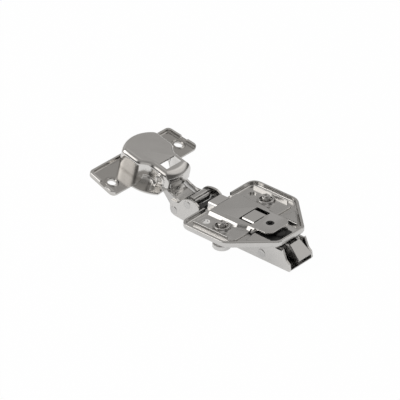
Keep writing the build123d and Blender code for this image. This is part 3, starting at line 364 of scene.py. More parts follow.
# Near black, 0.012: the guide block and the height cam are moulded plastic, and this depth also
# paints the deep shade of the openings above them.
finishes["black_plastic"] = moulded("black moulded plastic and painted shade", 0.012)
finishes["damper_plastic"] = moulded("dark grey moulded plastic", 0.03)
print("plastic finishes: 2")

# %% [markdown]
# ## Pressed shapes
#
# A pressing has no sharp corner: the punch rounds every plan corner and every bend. The
# helpers below build closed solids in millimetres from outlines with rounded corners,
# join and cut them with the Boolean modifier, and bake the result into one mesh with
# normals weighted by area, so that flats stay flat beside tight curves.

# %% Solids from outlines
def rounded(points, radius, steps=5):
    """A polygon with its corners rounded; a point may carry its own radius as a third value."""
    made, count = [], len(points)
    for index, point in enumerate(points):
        here = Vector(point[:2])
        before, after = Vector(points[index - 1][:2]), Vector(points[(index + 1) % count][:2])
        wanted = point[2] if len(point) > 2 else radius
        into, out = (before - here).normalized(), (after - here).normalized()
        half_turn = into.angle(out) / 2
        if wanted <= 0 or half_turn > radians(88):
            made.append(here)
            continue
        reach = min(wanted / max(0.001, sin(half_turn) / cos(half_turn)),
                    0.48 * (before - here).length, 0.48 * (after - here).length)
        start, end = here + into * reach, here + out * reach
        for step in range(steps + 1):
            t = step / steps
            made.append(start.lerp(here, t).lerp(here.lerp(end, t), t))
    return made


def solid_from_rings(name, rings):
    """A closed solid through rings of equally many points, capped at both ends."""
    shape = bmesh.new()
    rows = [[shape.verts.new(Vector(point) * MM) for point in ring] for ring in rings]
    for low, high in zip(rows, rows[1:]):
        for index in range(len(low)):
            after = (index + 1) % len(low)
            shape.faces.new((low[index], low[after], high[after], high[index]))
    shape.faces.new(rows[0])
    shape.faces.new(rows[-1])
    return from_bmesh(name, shape)


def from_bmesh(name, shape):
    bmesh.ops.recalc_face_normals(shape, faces=shape.faces)
    mesh = bpy.data.meshes.new(name)
    shape.to_mesh(mesh)
    shape.free()
    made = bpy.data.objects.new(name, mesh)
    bpy.context.collection.objects.link(made)
    return made


WIDE_ROLL, FLAT_BORDER = 0.7, 0.3     # beside a wide roll a flat border keeps the face flat


def plan_solid(name, outline, low, high, edge_low=0.0, edge_high=0.0, steps=4):
    """A prism along Z; its lower and upper edges are rolled by these radii."""
    rings = [(edge_low + FLAT_BORDER, low)] if edge_low >= WIDE_ROLL else []
    for step in range(steps + 1):
        turn = pi / 2 * (1 - step / steps)
        if edge_low or step == steps:
            rings.append((edge_low * (1 - cos(turn)), low + edge_low * (1 - sin(turn))))
    for step in range(steps + 1):
        turn = pi / 2 * step / steps
        if edge_high or step == 0:
            rings.append((edge_high * (1 - cos(turn)), high - edge_high * (1 - sin(turn))))
    if edge_high >= WIDE_ROLL:
        rings.append((edge_high + FLAT_BORDER, high))
    return solid_from_rings(name, [[(*point, z) for point in inset_outline(outline, by)]
                                   for by, z in rings])


def inset_outline(outline, distance):
    """Move every point of an anticlockwise outline inwards along its own normal."""
    if distance == 0:
        return list(outline)
    made, count = [], len(outline)
    for index, point in enumerate(outline):
        along = (outline[(index + 1) % count] - outline[index - 1]).normalized()
        made.append(point + Vector((-along.y, along.x)) * distance)
    return made


def anticlockwise(outline):
    area = sum(a.x * b.y - b.x * a.y for a, b in zip(outline, outline[1:] + outline[:1]))
    return list(outline) if area > 0 else list(reversed(outline))


def turned_solid(name, profile, segments=96, centre=(0, 0)):
    """A closed profile of (radius, z), turned about a line along Z; radius 0 is on the line."""
    shape = bmesh.new()
    poles = {k: shape.verts.new(Vector((*centre, z)) * MM)
             for k, (radius, z) in enumerate(profile) if radius == 0}
    rows = [[poles[k] if k in poles else shape.verts.new(Vector(
                 (centre[0] + radius * cos(2 * pi * turn / segments),
                  centre[1] + radius * sin(2 * pi * turn / segments), z)) * MM)
             for k, (radius, z) in enumerate(profile)] for turn in range(segments)]
    for row, after in zip(rows, rows[1:] + rows[:1]):
        for k in range(len(row)):
            corners = (row[k], row[(k + 1) % len(row)], after[(k + 1) % len(row)], after[k])
            corners = list(dict.fromkeys(corners))
            if len(corners) > 2:
                shape.faces.new(corners)
    return from_bmesh(name, shape)


MERGE, SLIVER, COPLANAR, SHARP = 2e-6, 1e-6, radians(0.05), radians(32)


def combined(name, first, steps, matrix=None, flats=True):
    """Join and cut a chain of solids, then keep the result as one plain mesh."""
    for index, (operation, tool) in enumerate(steps):
        modifier = first.modifiers.new(str(index), "BOOLEAN")
        modifier.operation, modifier.object, modifier.solver = operation, tool, "MANIFOLD"
        tool.hide_render = True
    result = bpy.data.meshes.new_from_object(
        first.evaluated_get(bpy.context.evaluated_depsgraph_get()))
    for _, tool in steps:
        bpy.data.objects.remove(tool)
    bpy.data.objects.remove(first)
    if matrix is not None:
        result.transform(matrix)
    shape = bmesh.new()
    shape.from_mesh(result)
    bmesh.ops.remove_doubles(shape, verts=shape.verts, dist=MERGE)
    bmesh.ops.dissolve_degenerate(shape, dist=SLIVER, edges=shape.edges)
    if flats:
        bmesh.ops.dissolve_limit(shape, angle_limit=COPLANAR, verts=shape.verts,
                                 edges=shape.edges)
    bmesh.ops.recalc_face_normals(shape, faces=shape.faces)
    open_edges = sum(1 for edge in shape.edges if len(edge.link_faces) != 2)
    shape.to_mesh(result)
    shape.free()
    result.shade_smooth()
    result.set_sharp_from_angle(angle=SHARP)
    result.name = name
    made = bpy.data.objects.new(name, result)
    bpy.context.collection.objects.link(made)
    weighted = made.modifiers.new("flat stays flat", "WEIGHTED_NORMAL")
    weighted.keep_sharp = True
    weighted.weight = 90 if flats else 50
    print(name, "faces", len(result.polygons), "open edges", open_edges)
    return made


# %% [markdown]
# ## The cup
#
# The cup is drawn from one sheet: a bore-wide ring at the mouth, level with the flange, and
# a narrower body with two pairs of flats joined by soft bends, whose nose carries the axle.
# It is built here the way the tool shapes it, in its own axes, and tilted into place last.

# %% Cup sizes
CUP_R, CUP_DEPTH, CUP_WALL, CUP_ROLL = 17.5, 12.0, 0.9, 2.9
CUP_FLAT, NOSE_FLAT = 12.4, 8.6
BEND_START, BEND_END = -2.0, 4.6
CUP_PIN_X, CUP_PIN_Z = 10.5, 6.8
CUP_PLACE = Matrix(((cos(CUP_TILT), 0, sin(CUP_TILT), -58.6 * MM), (0, 1, 0, 0),
                    (-sin(CUP_TILT), 0, cos(CUP_TILT), -1.3 * MM), (0, 0, 0, 1)))
ARC_STEPS, BEND_STEPS, FLAT_STEPS, SOFTEN = 40, 12, 10, 3


def cup_ring(inset):
    """Plan of the body at this inset, sampled alike at every level and slightly softened."""
    radius, flat, nose = CUP_R - inset, CUP_FLAT - inset, NOSE_FLAT - inset
    back_angle = pi - asin(flat / radius)
    nose_angle = asin(nose / radius)
    points = [Vector((radius * cos(a), radius * sin(a))) for a in
              (nose_angle * (2 * k / ARC_STEPS - 1) for k in range(ARC_STEPS))]
    nose_x, back_x = radius * cos(nose_angle), radius * cos(back_angle)
    side = [Vector((nose_x + (BEND_END - nose_x) * k / FLAT_STEPS, nose))
            for k in range(FLAT_STEPS)]
    side += [Vector((BEND_END + (BEND_START - BEND_END) * t,
                     nose + (flat - nose) * (3 * t * t - 2 * t ** 3)))
             for t in (k / BEND_STEPS for k in range(BEND_STEPS))]
    side += [Vector((BEND_START + (back_x - BEND_START) * k / FLAT_STEPS, flat))
             for k in range(FLAT_STEPS)]
    points += side
    sweep = 2 * (pi - back_angle)
    points += [Vector((radius * cos(a), radius * sin(a))) for a in
               (back_angle + sweep * k / ARC_STEPS for k in range(ARC_STEPS))]
    points.append(Vector((back_x, -flat)))
    points += [Vector((p.x, -p.y)) for p in reversed(side[1:])]
    for _ in range(SOFTEN):
        points = [points[k - 1] * 0.25 + points[k] * 0.5 + points[(k + 1) % len(points)] * 0.25
                  for k in range(len(points))]
    return points


def cup_body(name, inset, low, high, edge, steps=8):
    levels = [(inset, low), (inset, (low + high - edge) / 2)]
    for step in range(steps + 1):
        turn = pi / 2 * step / steps
        levels.append((inset + edge * (1 - cos(turn)), high - edge + edge * sin(turn)))
    return solid_from_rings(name, [[(*point, z) for point in cup_ring(by)]
                                   for by, z in levels])


def nose_roll(name, inset, steps=12):
    """The ring that the gentler roll takes off the front of the nose."""
    reach, top, radius = CUP_R - inset, CUP_DEPTH - inset, 5.0 - inset
    arc = [(reach - radius + radius * sin(pi / 2 * k / steps),
            top - radius + radius * cos(pi / 2 * k / steps)) for k in range(steps + 1)]
    profile = arc + [(reach + 2, top - radius), (reach + 2, top + 2), (reach - radius, top + 2)]
    width = asin(NOSE_FLAT / (reach - radius)) + 0.02
    rings = [[(radius_ * cos(a), radius_ * sin(a), z) for radius_, z in profile]
             for a in (width * (2 * k / 48 - 1) for k in range(49))]
    return solid_from_rings(name, rings)


def skirt(name, inset, low):
    """The flat ring round the mouth, level with the flange."""
    radius, rim = CUP_R - inset, 1.15 - inset
    profile = rounded([(0, low, 0), (radius, low, 0), (radius, rim - 0.3, 0.2),
                       (radius - 0.4, rim, 0.3), (0, rim, 0)], 0.7)
    return turned_solid(name, [(max(0.0, p.x), p.y) for p in profile])


print("cup outline:", len(cup_ring(0)), "points")

# %% Cup, flange and holes
FLANGE = dict(back=-17.6, front=1.4, half_back=28.8, half_front=30.75, sheet=1.2, rim=1.3,
              rim_top=2.6, hole_x=-6.0, hole_y=24.0, hole_r=2.2)


def flange_plan(inset=0.0, front_extra=0.0):
    corners = [(FLANGE["back"] + inset, inset - FLANGE["half_back"]),
               (FLANGE["front"] + front_extra, inset - FLANGE["half_front"]),
               (FLANGE["front"] + front_extra, FLANGE["half_front"] - inset),
               (FLANGE["back"] + inset, FLANGE["half_back"] - inset)]
    return anticlockwise(rounded(corners, 3.0 - inset / 2, 8))


def upright(name, x, y, radius, low, high, segments=40):
    return solid_from_rings(name, [[(x + radius * cos(2 * pi * k / segments),
                                     y + radius * sin(2 * pi * k / segments), z)
                                    for k in range(segments)] for z in (low, high)])


def cross_pin(name, x, z, radius, low, high, segments=32):
    return solid_from_rings(name, [[(x + radius * cos(2 * pi * k / segments), y,
                                     z + radius * sin(2 * pi * k / segments))
                                    for k in range(segments)] for y in (low, high)])


def square(x_low, x_high, y_low, y_high, radius=0.0):
    return anticlockwise(rounded([(x_low, y_low), (x_high, y_low), (x_high, y_high),
                                  (x_low, y_high)], radius))


STEP_OUT, STEP_FROM, STEP_TOP = 0.35, 1.1, 4.2  # the body is a little wider near the mouth
slab = plan_solid("slab", flange_plan(), 0.0, FLANGE["rim_top"], 0.3, 0.6)
pocket = plan_solid("pocket", flange_plan(FLANGE["rim"], 4.0), FLANGE["sheet"], 6.0, 0.7, 0.0)
chain = [("DIFFERENCE", pocket), ("UNION", cup_body("body", 0.0, 0.5, CUP_DEPTH, CUP_ROLL)),
         ("DIFFERENCE", nose_roll("roll", 0.0)), ("UNION", skirt("skirt", 0.0, 0.0)),
         ("UNION", plan_solid("step", [p for p in cup_ring(-STEP_OUT) if p.x > STEP_FROM],
                              0.6, STEP_TOP, STEP_OUT * 0.8))]
for side in (-1, 1):
    boss = turned_solid("boss", [(1.3, 0), (3.0, 0), (2.95, 0.5), (2.75, 0.8), (2.4, 0.95),
                                 (2.0, 0.95), (1.7, 0.8), (1.45, 0.5)], 48)
    boss.data.transform(Matrix.Translation(Vector((CUP_PIN_X, side * 8.4, CUP_PIN_Z)) * MM)
                        @ Matrix.Rotation(-side * pi / 2, 4, "X"))
    chain.append(("UNION", boss))
    x, y = FLANGE["hole_x"], side * FLANGE["hole_y"]
    chain.append(("UNION", turned_solid("collar", [
        (0, 0.8), (3.7, 0.8), (3.6, 1.25), (3.3, 1.36), (3.05, 1.6), (2.8, 1.66), (0, 1.66)],
        48, (x, y))))
inner = cup_body("inner", CUP_WALL, -1.3, CUP_DEPTH - CUP_WALL, CUP_ROLL - CUP_WALL)
chain += [("DIFFERENCE", combined("inner", inner, [("DIFFERENCE", nose_roll("roll", CUP_WALL))])),
          ("DIFFERENCE", skirt("hollow", CUP_WALL, -1.0)),
          ("DIFFERENCE", plan_solid("window", square(6.0, 10.9, -5.2, 5.2, 0.5), 10.0, 14.0)),
          ("DIFFERENCE", plan_solid("nose cut", square(13.3, 20.0, -12, 12, 0.4), -2.0, 4.3,
                                    0.0, 0.3))]
for side in (-1, 1):
    chain.append(("DIFFERENCE", cross_pin("eye", CUP_PIN_X, CUP_PIN_Z, 1.35,
                                          *sorted((side * 6.5, side * 8.9)))))
    x, y = FLANGE["hole_x"], side * FLANGE["hole_y"]
    chain.append(("DIFFERENCE", turned_solid("hole", [
        (0, -1), (2.2, -1), (2.2, 1.1), (2.35, 1.4), (2.7, 1.7), (2.9, 3), (0, 3)], 48, (x, y))))
    notch = square(x - 3.0, x + 1.0, *sorted((side * 27.6, side * 33.0)), 1.0)
    chain.append(("DIFFERENCE", plan_solid("notch", notch, FLANGE["sheet"] + 0.25, 5.0, 0.5)))
cup = combined("drawn_cup", slab, chain, CUP_PLACE, flats=False)


def dress(piece, finish_name, slot_name, body, *nodes):
    """Give a piece its finish and its body, and hide the plain nodes it stands for."""
    piece.data.materials.clear()
    piece.data.materials.append(finishes[finish_name])
    piece.data.polygons.foreach_set("material_index", [0] * len(piece.data.polygons))
    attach(piece, body)
    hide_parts(*nodes)


dress(cup, "cup_steel", "cup_steel", "cup", "hinge_cup")

# %% [markdown]
# ## The wing plate
#
# The plate under the base plate is a shallow tray: its rim is drawn up all round with a
# full radius in every corner, two bridges are pressed up through the base plate, and two
# flaps stand beside the tongue. The same outlines as for the cup's flange do it.

# %% Wing plate
TRAY = dict(front=-17.5, half=27.0, shoulder=11.0, rear=30.4, rear_half=9.6, rim=1.3,
            bottom=-3.85, floor=-2.85, rim_top=-0.75)


def tray_plan(inset):
    front, rear, half = TRAY["front"] + inset, TRAY["rear"] - inset, TRAY["half"] - inset
    rear_half, shoulder = TRAY["rear_half"] - inset / 2, TRAY["shoulder"] - inset / 2
    right = [(front, -half, 5.6 - inset), (shoulder, -half, 8.0 - inset),
             (rear - 0.6, -rear_half, 3.4 - inset), (rear, 2 - rear_half, 2.4)]
    return anticlockwise(rounded(right + [(x, -y, r) for x, y, r in reversed(right)], 0, 7))


def stadium(x, y, radius, reach):
    """A slot along Y: two half circles this far from the middle."""
    return [Vector((x + radius * cos(a), y + radius * sin(a) + (reach if k < 13 else -reach)))
            for k, a in ((k, pi * (k - (k > 12)) / 12) for k in range(26))]


def along_x(name, outline, low, high):
    """A prism along X from an outline in (y, z)."""
    made = plan_solid(name, anticlockwise(outline), low, high)
    made.data.transform(Matrix(((0, 0, 1, 0), (1, 0, 0, 0), (0, 1, 0, 0), (0, 0, 0, 1))))
    return made


bottom, top = TRAY["bottom"], TRAY["floor"]
tray = plan_solid("tray", tray_plan(0), bottom, TRAY["rim_top"], 1.0, 0.5, 5)
chain = [("DIFFERENCE", plan_solid("dish", tray_plan(TRAY["rim"]), top, 2.0, 0.8, 0.0)),
         ("DIFFERENCE", plan_solid("open front", square(-19, -15.7, -9.7, 9.7, 1.2), top, 2.0)),
         ("DIFFERENCE", plan_solid("window", square(14.2, 26.9, -9.1, 4.3, 0.8), bottom - 1, 0)),
         ("DIFFERENCE", plan_solid("pin slot", stadium(-1.5, 1.2, 1.4, 0.55), bottom - 1, 0))]
for front, rear in ((-18.6, -13.2), (3.0, 10.2)):
    chain.append(("DIFFERENCE", plan_solid(
        "under the bridge", square(front, rear, -5.2, 5.2), bottom - 1, top + 1)))
    chain.append(("UNION", along_x("bridge", rounded([
        (-5.5, bottom, 0), (-4.2, bottom, 0), (-4.2, -1.0, 0.3), (4.2, -1.0, 0.3),
        (4.2, bottom, 0), (5.5, bottom, 0), (5.5, top, 0), (5.1, top, 0.3), (5.1, -0.9, 1.0),
        (4.4, 0, 0.8), (-4.4, 0, 0.8), (-5.1, -0.9, 1.0), (-5.1, top, 0.3), (-5.5, top, 0)],
        0), front, rear)))
for side in (-1, 1):
    chain.append(("DIFFERENCE", plan_solid(
        "screw slot", stadium(0, side * FIXING_Y, 3.55, 1.5), bottom - 1, 0)))
    chain.append(("DIFFERENCE", upright("lobe", -9.3 + side * 1.1, -16.8, 1.7, bottom - 1, 0)))
    flap = rounded([(14.6, side * 9.4), (25.4, side * 9.4), (24.8, side * 11.0),
                    (16.6, side * 19.0)], 0.9)
    chain.append(("UNION", plan_solid("flap", anticlockwise(flap), top - 0.3, top + 1.5,
                                      0.0, 0.6)))
wing = combined("wing_tray", tray, chain)
dress(wing, "wing_steel", "plate_steel", "tray", "wing_plate")

# %% [markdown]
# ## Threads and springs
#
# A thread and a spring are the same thing: a small section that follows a spiral. One
# Geometry Nodes tree draws both. It keeps the plain body it is given, adds the winding
# beside it, and ends with the finish, so that one mesh comes out.

# %% Winding tree
def winding_tree():
    tree = bpy.data.node_groups.new("winding", "GeometryNodeTree")
    sockets = {}
    for label, kind in (("Geometry", "NodeSocketGeometry"), ("Turns", "NodeSocketFloat"),
                        ("Coil radius", "NodeSocketFloat"), ("Height", "NodeSocketFloat"),
                        ("Wire radius", "NodeSocketFloat"), ("Wire sides", "NodeSocketInt"),
                        ("Place", "NodeSocketVector"), ("Turn", "NodeSocketVector"),
                        ("Finish", "NodeSocketMaterial")):
        sockets[label] = tree.interface.new_socket(label, in_out="INPUT", socket_type=kind)
    tree.interface.new_socket("Geometry", in_out="OUTPUT", socket_type="NodeSocketGeometry")
    make, join = tree.nodes.new, tree.links.new
    given, result = make("NodeGroupInput"), make("NodeGroupOutput")
    spiral, wire = make("GeometryNodeCurveSpiral"), make("GeometryNodeCurvePrimitiveCircle")
    sweep, smooth = make("GeometryNodeCurveToMesh"), make("GeometryNodeSetShadeSmooth")
    place, both = make("GeometryNodeTransform"), make("GeometryNodeJoinGeometry")
    real, finish = make("GeometryNodeRealizeInstances"), make("GeometryNodeSetMaterial")
    spiral.inputs["Resolution"].default_value = 40
    sweep.inputs["Fill Caps"].default_value = True
    for label, node, socket in (("Turns", spiral, "Rotations"), ("Height", spiral, "Height"),
                                ("Coil radius", spiral, "Start Radius"),
                                ("Coil radius", spiral, "End Radius"),
                                ("Wire sides", wire, "Resolution"),
                                ("Wire radius", wire, "Radius"),
                                ("Place", place, "Translation"), ("Turn", place, "Rotation"),
                                ("Finish", finish, "Material")):
        join(given.outputs[label], node.inputs[socket])
    join(spiral.outputs["Curve"], sweep.inputs["Curve"])
    join(wire.outputs["Curve"], sweep.inputs["Profile Curve"])
    join(sweep.outputs["Mesh"], smooth.inputs["Geometry"])
    join(smooth.outputs["Geometry"], place.inputs["Geometry"])
    join(given.outputs["Geometry"], both.inputs["Geometry"])
    join(place.outputs["Geometry"], both.inputs["Geometry"])
    join(both.outputs["Geometry"], real.inputs["Geometry"])
    join(real.outputs["Geometry"], finish.inputs["Geometry"])
    join(finish.outputs["Geometry"], result.inputs["Geometry"])
    return tree, sockets


def grown(body, tree, sockets, *settings):
    """Run the tree over a body, once for each set of values, and keep one plain mesh."""
    for values in settings:
        modifier = body.modifiers.new(tree.name, "NODES")
        modifier.node_group = tree
        for label, value in values.items():
            modifier[sockets[label].identifier] = value
    mesh = bpy.data.meshes.new_from_object(
        body.evaluated_get(bpy.context.evaluated_depsgraph_get()))
    name = body.name
    bpy.data.objects.remove(body)
    made = bpy.data.objects.new(name, mesh)
    bpy.context.collection.objects.link(made)
    print(name, "faces", len(mesh.polygons))
    return made


WINDING, WINDING_SOCKETS = winding_tree()
print("winding inputs:", len(WINDING_SOCKETS))

# %% Screws
STAR_POINTS = 6


def cross_recess(x, y, span, width, low, high):
    """Two crossed slots, as the driver needs them."""
    return [("DIFFERENCE", plan_solid("slot", square(x - a / 2, x + a / 2, y - b / 2, y + b / 2,
                                                     0.2), low, high))
            for a, b in ((span, width), (width, span))]


def threaded(body, x, y, low, high, radius, wire, pitch):
    return grown(body, WINDING, WINDING_SOCKETS, {
        "Turns": (high - low) / pitch, "Coil radius": radius * MM, "Height": (high - low) * MM,
        "Wire radius": wire * MM, "Wire sides": 4, "Place": (x * MM, y * MM, low * MM),
        "Turn": (0.0, 0.0, 0.0), "Finish": finishes["screw_steel"]})


for side, place in ((-1, "near"), (1, "far")):
    y = side * FIXING_Y
    profile = [(0, -12.7), (3.9, -12.7), (4.35, -12.5), (4.6, -12.05), (4.6, -10.5),
               (4.45, -10.15), (2.8, -10.1), (2.8, -2.1), (2.6, -1.95), (2.12, -0.4),
               (2.1, 0.7), (1.95, 0.87), (0, 0.87)]
    star = [Vector((cos(a), sin(a))) * (1.62 + 0.18 * cos(STAR_POINTS * a)) + Vector((0, y))
            for a in (2 * pi * k / 96 for k in range(96))]
    body = combined(f"{place}_fixing_screw", turned_solid("shank", profile, 64, (0, y)), [
        ("UNION", plan_solid("star", star, 0.5, 1.6, 0.0, 0.25)),
        ("DIFFERENCE", upright("dimple", 0, y, 0.75, 1.2, 3.0, 24))]
        + cross_recess(0, y, 5.0, 1.0, -14, -10.9))
    screw = threaded(body, 0, y, -9.7, -2.5, 2.75, 0.42, 1.25)
    dress(screw, "screw_steel", "screw_steel", f"screw_{place}", f"fixing_screw_{place}")

body = combined("adjusting_screw", turned_solid("shank", [
    (0, -15.9), (2.2, -15.9), (2.4, -15.7), (2.4, -14.85), (3.1, -14.85), (3.3, -14.65),
    (3.3, -14.25), (3.15, -14.1), (1.75, -14.1), (1.75, -5.0), (1.5, -4.8), (0, -4.8)],
    48, (-10, 0)), cross_recess(-10, 0, 3.6, 0.8, -17, -14.8))
screw = threaded(body, -10, 0, -13.7, -5.3, 1.72, 0.26, 0.8)
dress(screw, "screw_steel", "screw_steel", "overlay_screw", "overlay_screw")

# %% Springs
def wire(name, points, radius, sides=12):
    """A round wire through these points, in millimetres, with closed ends."""
    path = [Vector(point) for point in points]
    side = None
    rings = []
    for index, here in enumerate(path):
        along = (path[min(index + 1, len(path) - 1)] - path[max(index - 1, 0)]).normalized()
        side = (side - along * side.dot(along) if side else along.orthogonal()).normalized()
        across = along.cross(side)
        rings.append([here + (side * cos(a) + across * sin(a)) * radius
                      for a in (2 * pi * k / sides for k in range(sides))])
    return solid_from_rings(name, rings)


def leg_angle(tip, coil_r, way):
    """Where on the coil a straight leg to this tip leaves it along the tangent."""
    reach = (tip[0] ** 2 + tip[1] ** 2) ** 0.5
    return atan2(tip[1], tip[0]) + way * acos(coil_r / reach)


def joined(name, pieces):
    """Put separate closed solids into one mesh."""
    shape = bmesh.new()
    for piece in pieces:
        shape.from_mesh(piece.data)
        bpy.data.objects.remove(piece)
    made = from_bmesh(name, shape)
    made.data.shade_smooth()
    return made


def leg(name, centre, coil_r, y, tip, way, radius):
    angle = leg_angle(tip, coil_r, way)
    start = (centre[0] + coil_r * cos(angle), y, centre[1] + coil_r * sin(angle))
    return angle, wire(name, [start, (centre[0] + tip[0], y, centre[1] + tip[1])], radius)


UPPER_PIVOT, LEVER_PIVOT = (-29.1, -4.6), (26.6, -8.4)
COIL_R, WIRE_R, INNER_Y, OUTER_Y = 1.9, 0.36, 5.15, 5.95
ARM_TIP = (2.1, 2.7)                  # where the spring's bar lies, from the upper pivot
LEVER_COIL_R, LEVER_WIRE_R, LEVER_LOW, LEVER_HIGH = 1.85, 0.28, -0.9, 0.72


def coil(centre, coil_r, wire_r, low, high, start_angle, turns):
    """One winding about a line along Y, from one height to the other."""
    return {"Turns": turns, "Coil radius": coil_r * MM, "Height": (high - low) * MM,
            "Wire radius": wire_r * MM, "Wire sides": 12,
            "Place": (centre[0] * MM, low * MM, centre[1] * MM),
            "Turn": (-pi / 2, start_angle, 0.0), "Finish": finishes["spring_steel"]}


def whole_turns(start_angle, end_angle, least):
    """The angle from one leg to the other, with enough full turns added."""
    turns = (end_angle - start_angle) / (2 * pi) % 1
    while turns < least:
        turns += 1
    return turns


legs, windings = [], []
for side in (-1, 1):
    start, foot = leg("foot", UPPER_PIVOT, COIL_R, side * INNER_Y, (-3.2, -3.7), -1, WIRE_R)
    end, arm_leg = leg("arm", UPPER_PIVOT, COIL_R, side * OUTER_Y, ARM_TIP, 1, WIRE_R)
    legs += [foot, arm_leg]
    low, high = (INNER_Y, OUTER_Y) if side > 0 else (-OUTER_Y, -INNER_Y)
    turns = whole_turns(start, end, 0.9)
    windings.append(coil(UPPER_PIVOT, COIL_R, WIRE_R, low, high,
                         -(start if side > 0 else end), turns))
bar_x, bar_z = UPPER_PIVOT[0] + ARM_TIP[0], UPPER_PIVOT[1] + ARM_TIP[1]
legs.append(wire("bar", [(bar_x, -OUTER_Y, bar_z), (bar_x, OUTER_Y, bar_z)], WIRE_R))
spring = grown(joined("link_spring", legs), WINDING, WINDING_SOCKETS, *windings)
dress(spring, "spring_steel", "spring_steel", "arm", "closing_spring")

start, foot = leg("foot", LEVER_PIVOT, LEVER_COIL_R, LEVER_LOW, (-4.3, 2.6), -1, LEVER_WIRE_R)
end, finger = leg("finger", LEVER_PIVOT, LEVER_COIL_R, LEVER_HIGH, (5.55, 1.95), 1,
                  LEVER_WIRE_R)
spring = grown(joined("lever_return_spring", [foot, finger]), WINDING, WINDING_SOCKETS,
               coil(LEVER_PIVOT, LEVER_COIL_R, LEVER_WIRE_R, LEVER_LOW, LEVER_HIGH, -start,
                    whole_turns(start, end, 2.3)))
dress(spring, "spring_steel", "spring_steel", "carrier", "lever_spring")

# %% [markdown]
# ## Rivets
#
# A rivet is one shank with the same low dome at both ends, so the tree makes one dome and
# stands it on two points, turned outwards by the direction in which each point lies.

# %% Rivet tree
def rivet_tree():
    tree = bpy.data.node_groups.new("rivet", "GeometryNodeTree")
    sockets = {}
    for label, kind in (("Geometry", "NodeSocketGeometry"), ("Shank radius", "NodeSocketFloat"),
                        ("Head", "NodeSocketVector"), ("Seat", "NodeSocketVector"),
                        ("Place", "NodeSocketVector"), ("Finish", "NodeSocketMaterial")):
        sockets[label] = tree.interface.new_socket(label, in_out="INPUT", socket_type=kind)
    tree.interface.new_socket("Geometry", in_out="OUTPUT", socket_type="NodeSocketGeometry")
    make, join = tree.nodes.new, tree.links.new
    given, result = make("NodeGroupInput"), make("NodeGroupOutput")
    ball, lift = make("GeometryNodeMeshUVSphere"), make("GeometryNodeSetPosition")
    where, above = make("GeometryNodeInputPosition"), make("ShaderNodeVectorMath")
    size, ends = make("GeometryNodeTransform"), make("GeometryNodeMeshLine")
    opposite, outwards = make("ShaderNodeVectorMath"), make("FunctionNodeAlignRotationToVector")
    spread_out, shank = make("GeometryNodeInstanceOnPoints"), make("GeometryNodeMeshCylinder")
    length, lay = make("ShaderNodeVectorMath"), make("GeometryNodeTransform")
    both, place = make("GeometryNodeJoinGeometry"), make("GeometryNodeTransform")
    real, finish = make("GeometryNodeRealizeInstances"), make("GeometryNodeSetMaterial")
    ball.inputs["Segments"].default_value, ball.inputs["Rings"].default_value = 40, 24
    ball.inputs["Radius"].default_value = 1.0
    above.operation, above.inputs[1].default_value = "MAXIMUM", (-9.0, -9.0, 0.0)
    ends.mode, ends.inputs["Count"].default_value = "END_POINTS", 2
    opposite.operation, opposite.inputs[1].default_value = "MULTIPLY", (-1.0, -1.0, -1.0)
    outwards.axis, length.operation = "Z", "LENGTH"
    lay.inputs["Rotation"].default_value = (pi / 2, 0.0, 0.0)
    shank.inputs["Vertices"].default_value = 40
    reach = make("ShaderNodeMath")
    reach.operation, reach.inputs[1].default_value = "MULTIPLY", 2.0
    for start, out, node, socket in (
            (where, 0, above, 0), (above, 0, lift, "Position"), (ball, "Mesh", lift, "Geometry"),
            (lift, 0, size, "Geometry"), (given, "Head", size, "Scale"),
            (given, "Seat", opposite, 0), (opposite, 0, ends, "Start Location"),
            (given, "Seat", ends, "Offset"), (ends, "Mesh", spread_out, "Points"),
            (size, 0, spread_out, "Instance"), (where, 0, outwards, "Vector"),
            (outwards, 0, spread_out, "Rotation"), (given, "Seat", length, 0),
            (length, "Value", reach, 0), (reach, 0, shank, "Depth"),
            (given, "Shank radius", shank, "Radius"), (shank, "Mesh", lay, "Geometry"),
            (spread_out, 0, both, "Geometry"), (lay, 0, both, "Geometry"),
            (both, 0, place, "Geometry"), (given, "Place", place, "Translation"),
            (place, 0, real, "Geometry"), (real, 0, finish, "Geometry"),
            (given, "Finish", finish, "Material"), (finish, 0, result, "Geometry")):
        join(start.outputs[out], node.inputs[socket])
    return tree, sockets


RIVET, RIVET_SOCKETS = rivet_tree()
DOME_R, DOME_HEIGHT = 2.2, 0.45
for name, body_name, x, z, shank_r, seat in (
        ("upper_rivet", "arm", *UPPER_PIVOT, 1.1, 8.5),
        ("front_rivet", "arm", -37.8, -11.0, 1.3, 8.5),
        ("rear_rivet", "carrier", 18.5, -12.0, 1.3, 8.55)):
    empty = bpy.data.objects.new(f"domed_{name}", bpy.data.meshes.new(name))
    bpy.context.collection.objects.link(empty)
    rivet = grown(empty, RIVET, RIVET_SOCKETS, {
        "Shank radius": shank_r * MM, "Head": (DOME_R * MM, DOME_R * MM, DOME_HEIGHT * MM),
        "Seat": (0.0, seat * MM, 0.0), "Place": (x * MM, 0.0, z * MM),
        "Finish": finishes["rivet_steel"]})
    rivet.data.shade_smooth()
    rivet.data.set_sharp_from_angle(angle=radians(40))
    dress(rivet, "rivet_steel", "rivet_steel", body_name, name)
print("rivets: 3")

# %% [markdown]
# ## The base plate
#
# The base plate is pressed in one stroke: a flat floor for the screws, and a hat over the
# arm whose walls lean out and run into both faces with a radius. The outline keeps the
# same number of points at every height, so the wall is a loft through a few of them.

# %% Base plate
HAT_FRONT, HAT_HALF, TONGUE_HALF = -13.0, 10.2, 8.2


def hat_plan(grow, front):
    half, tongue = HAT_HALF + grow, TONGUE_HALF + grow
    right = [(front, -half, 0.6), (5.0, -half, 3.0), (10.0, -tongue, 3.0), (14.0, -tongue, 0.2)]
    return anticlockwise(rounded(right + [(x, -y, r) for x, y, r in reversed(right)], 0, 5))


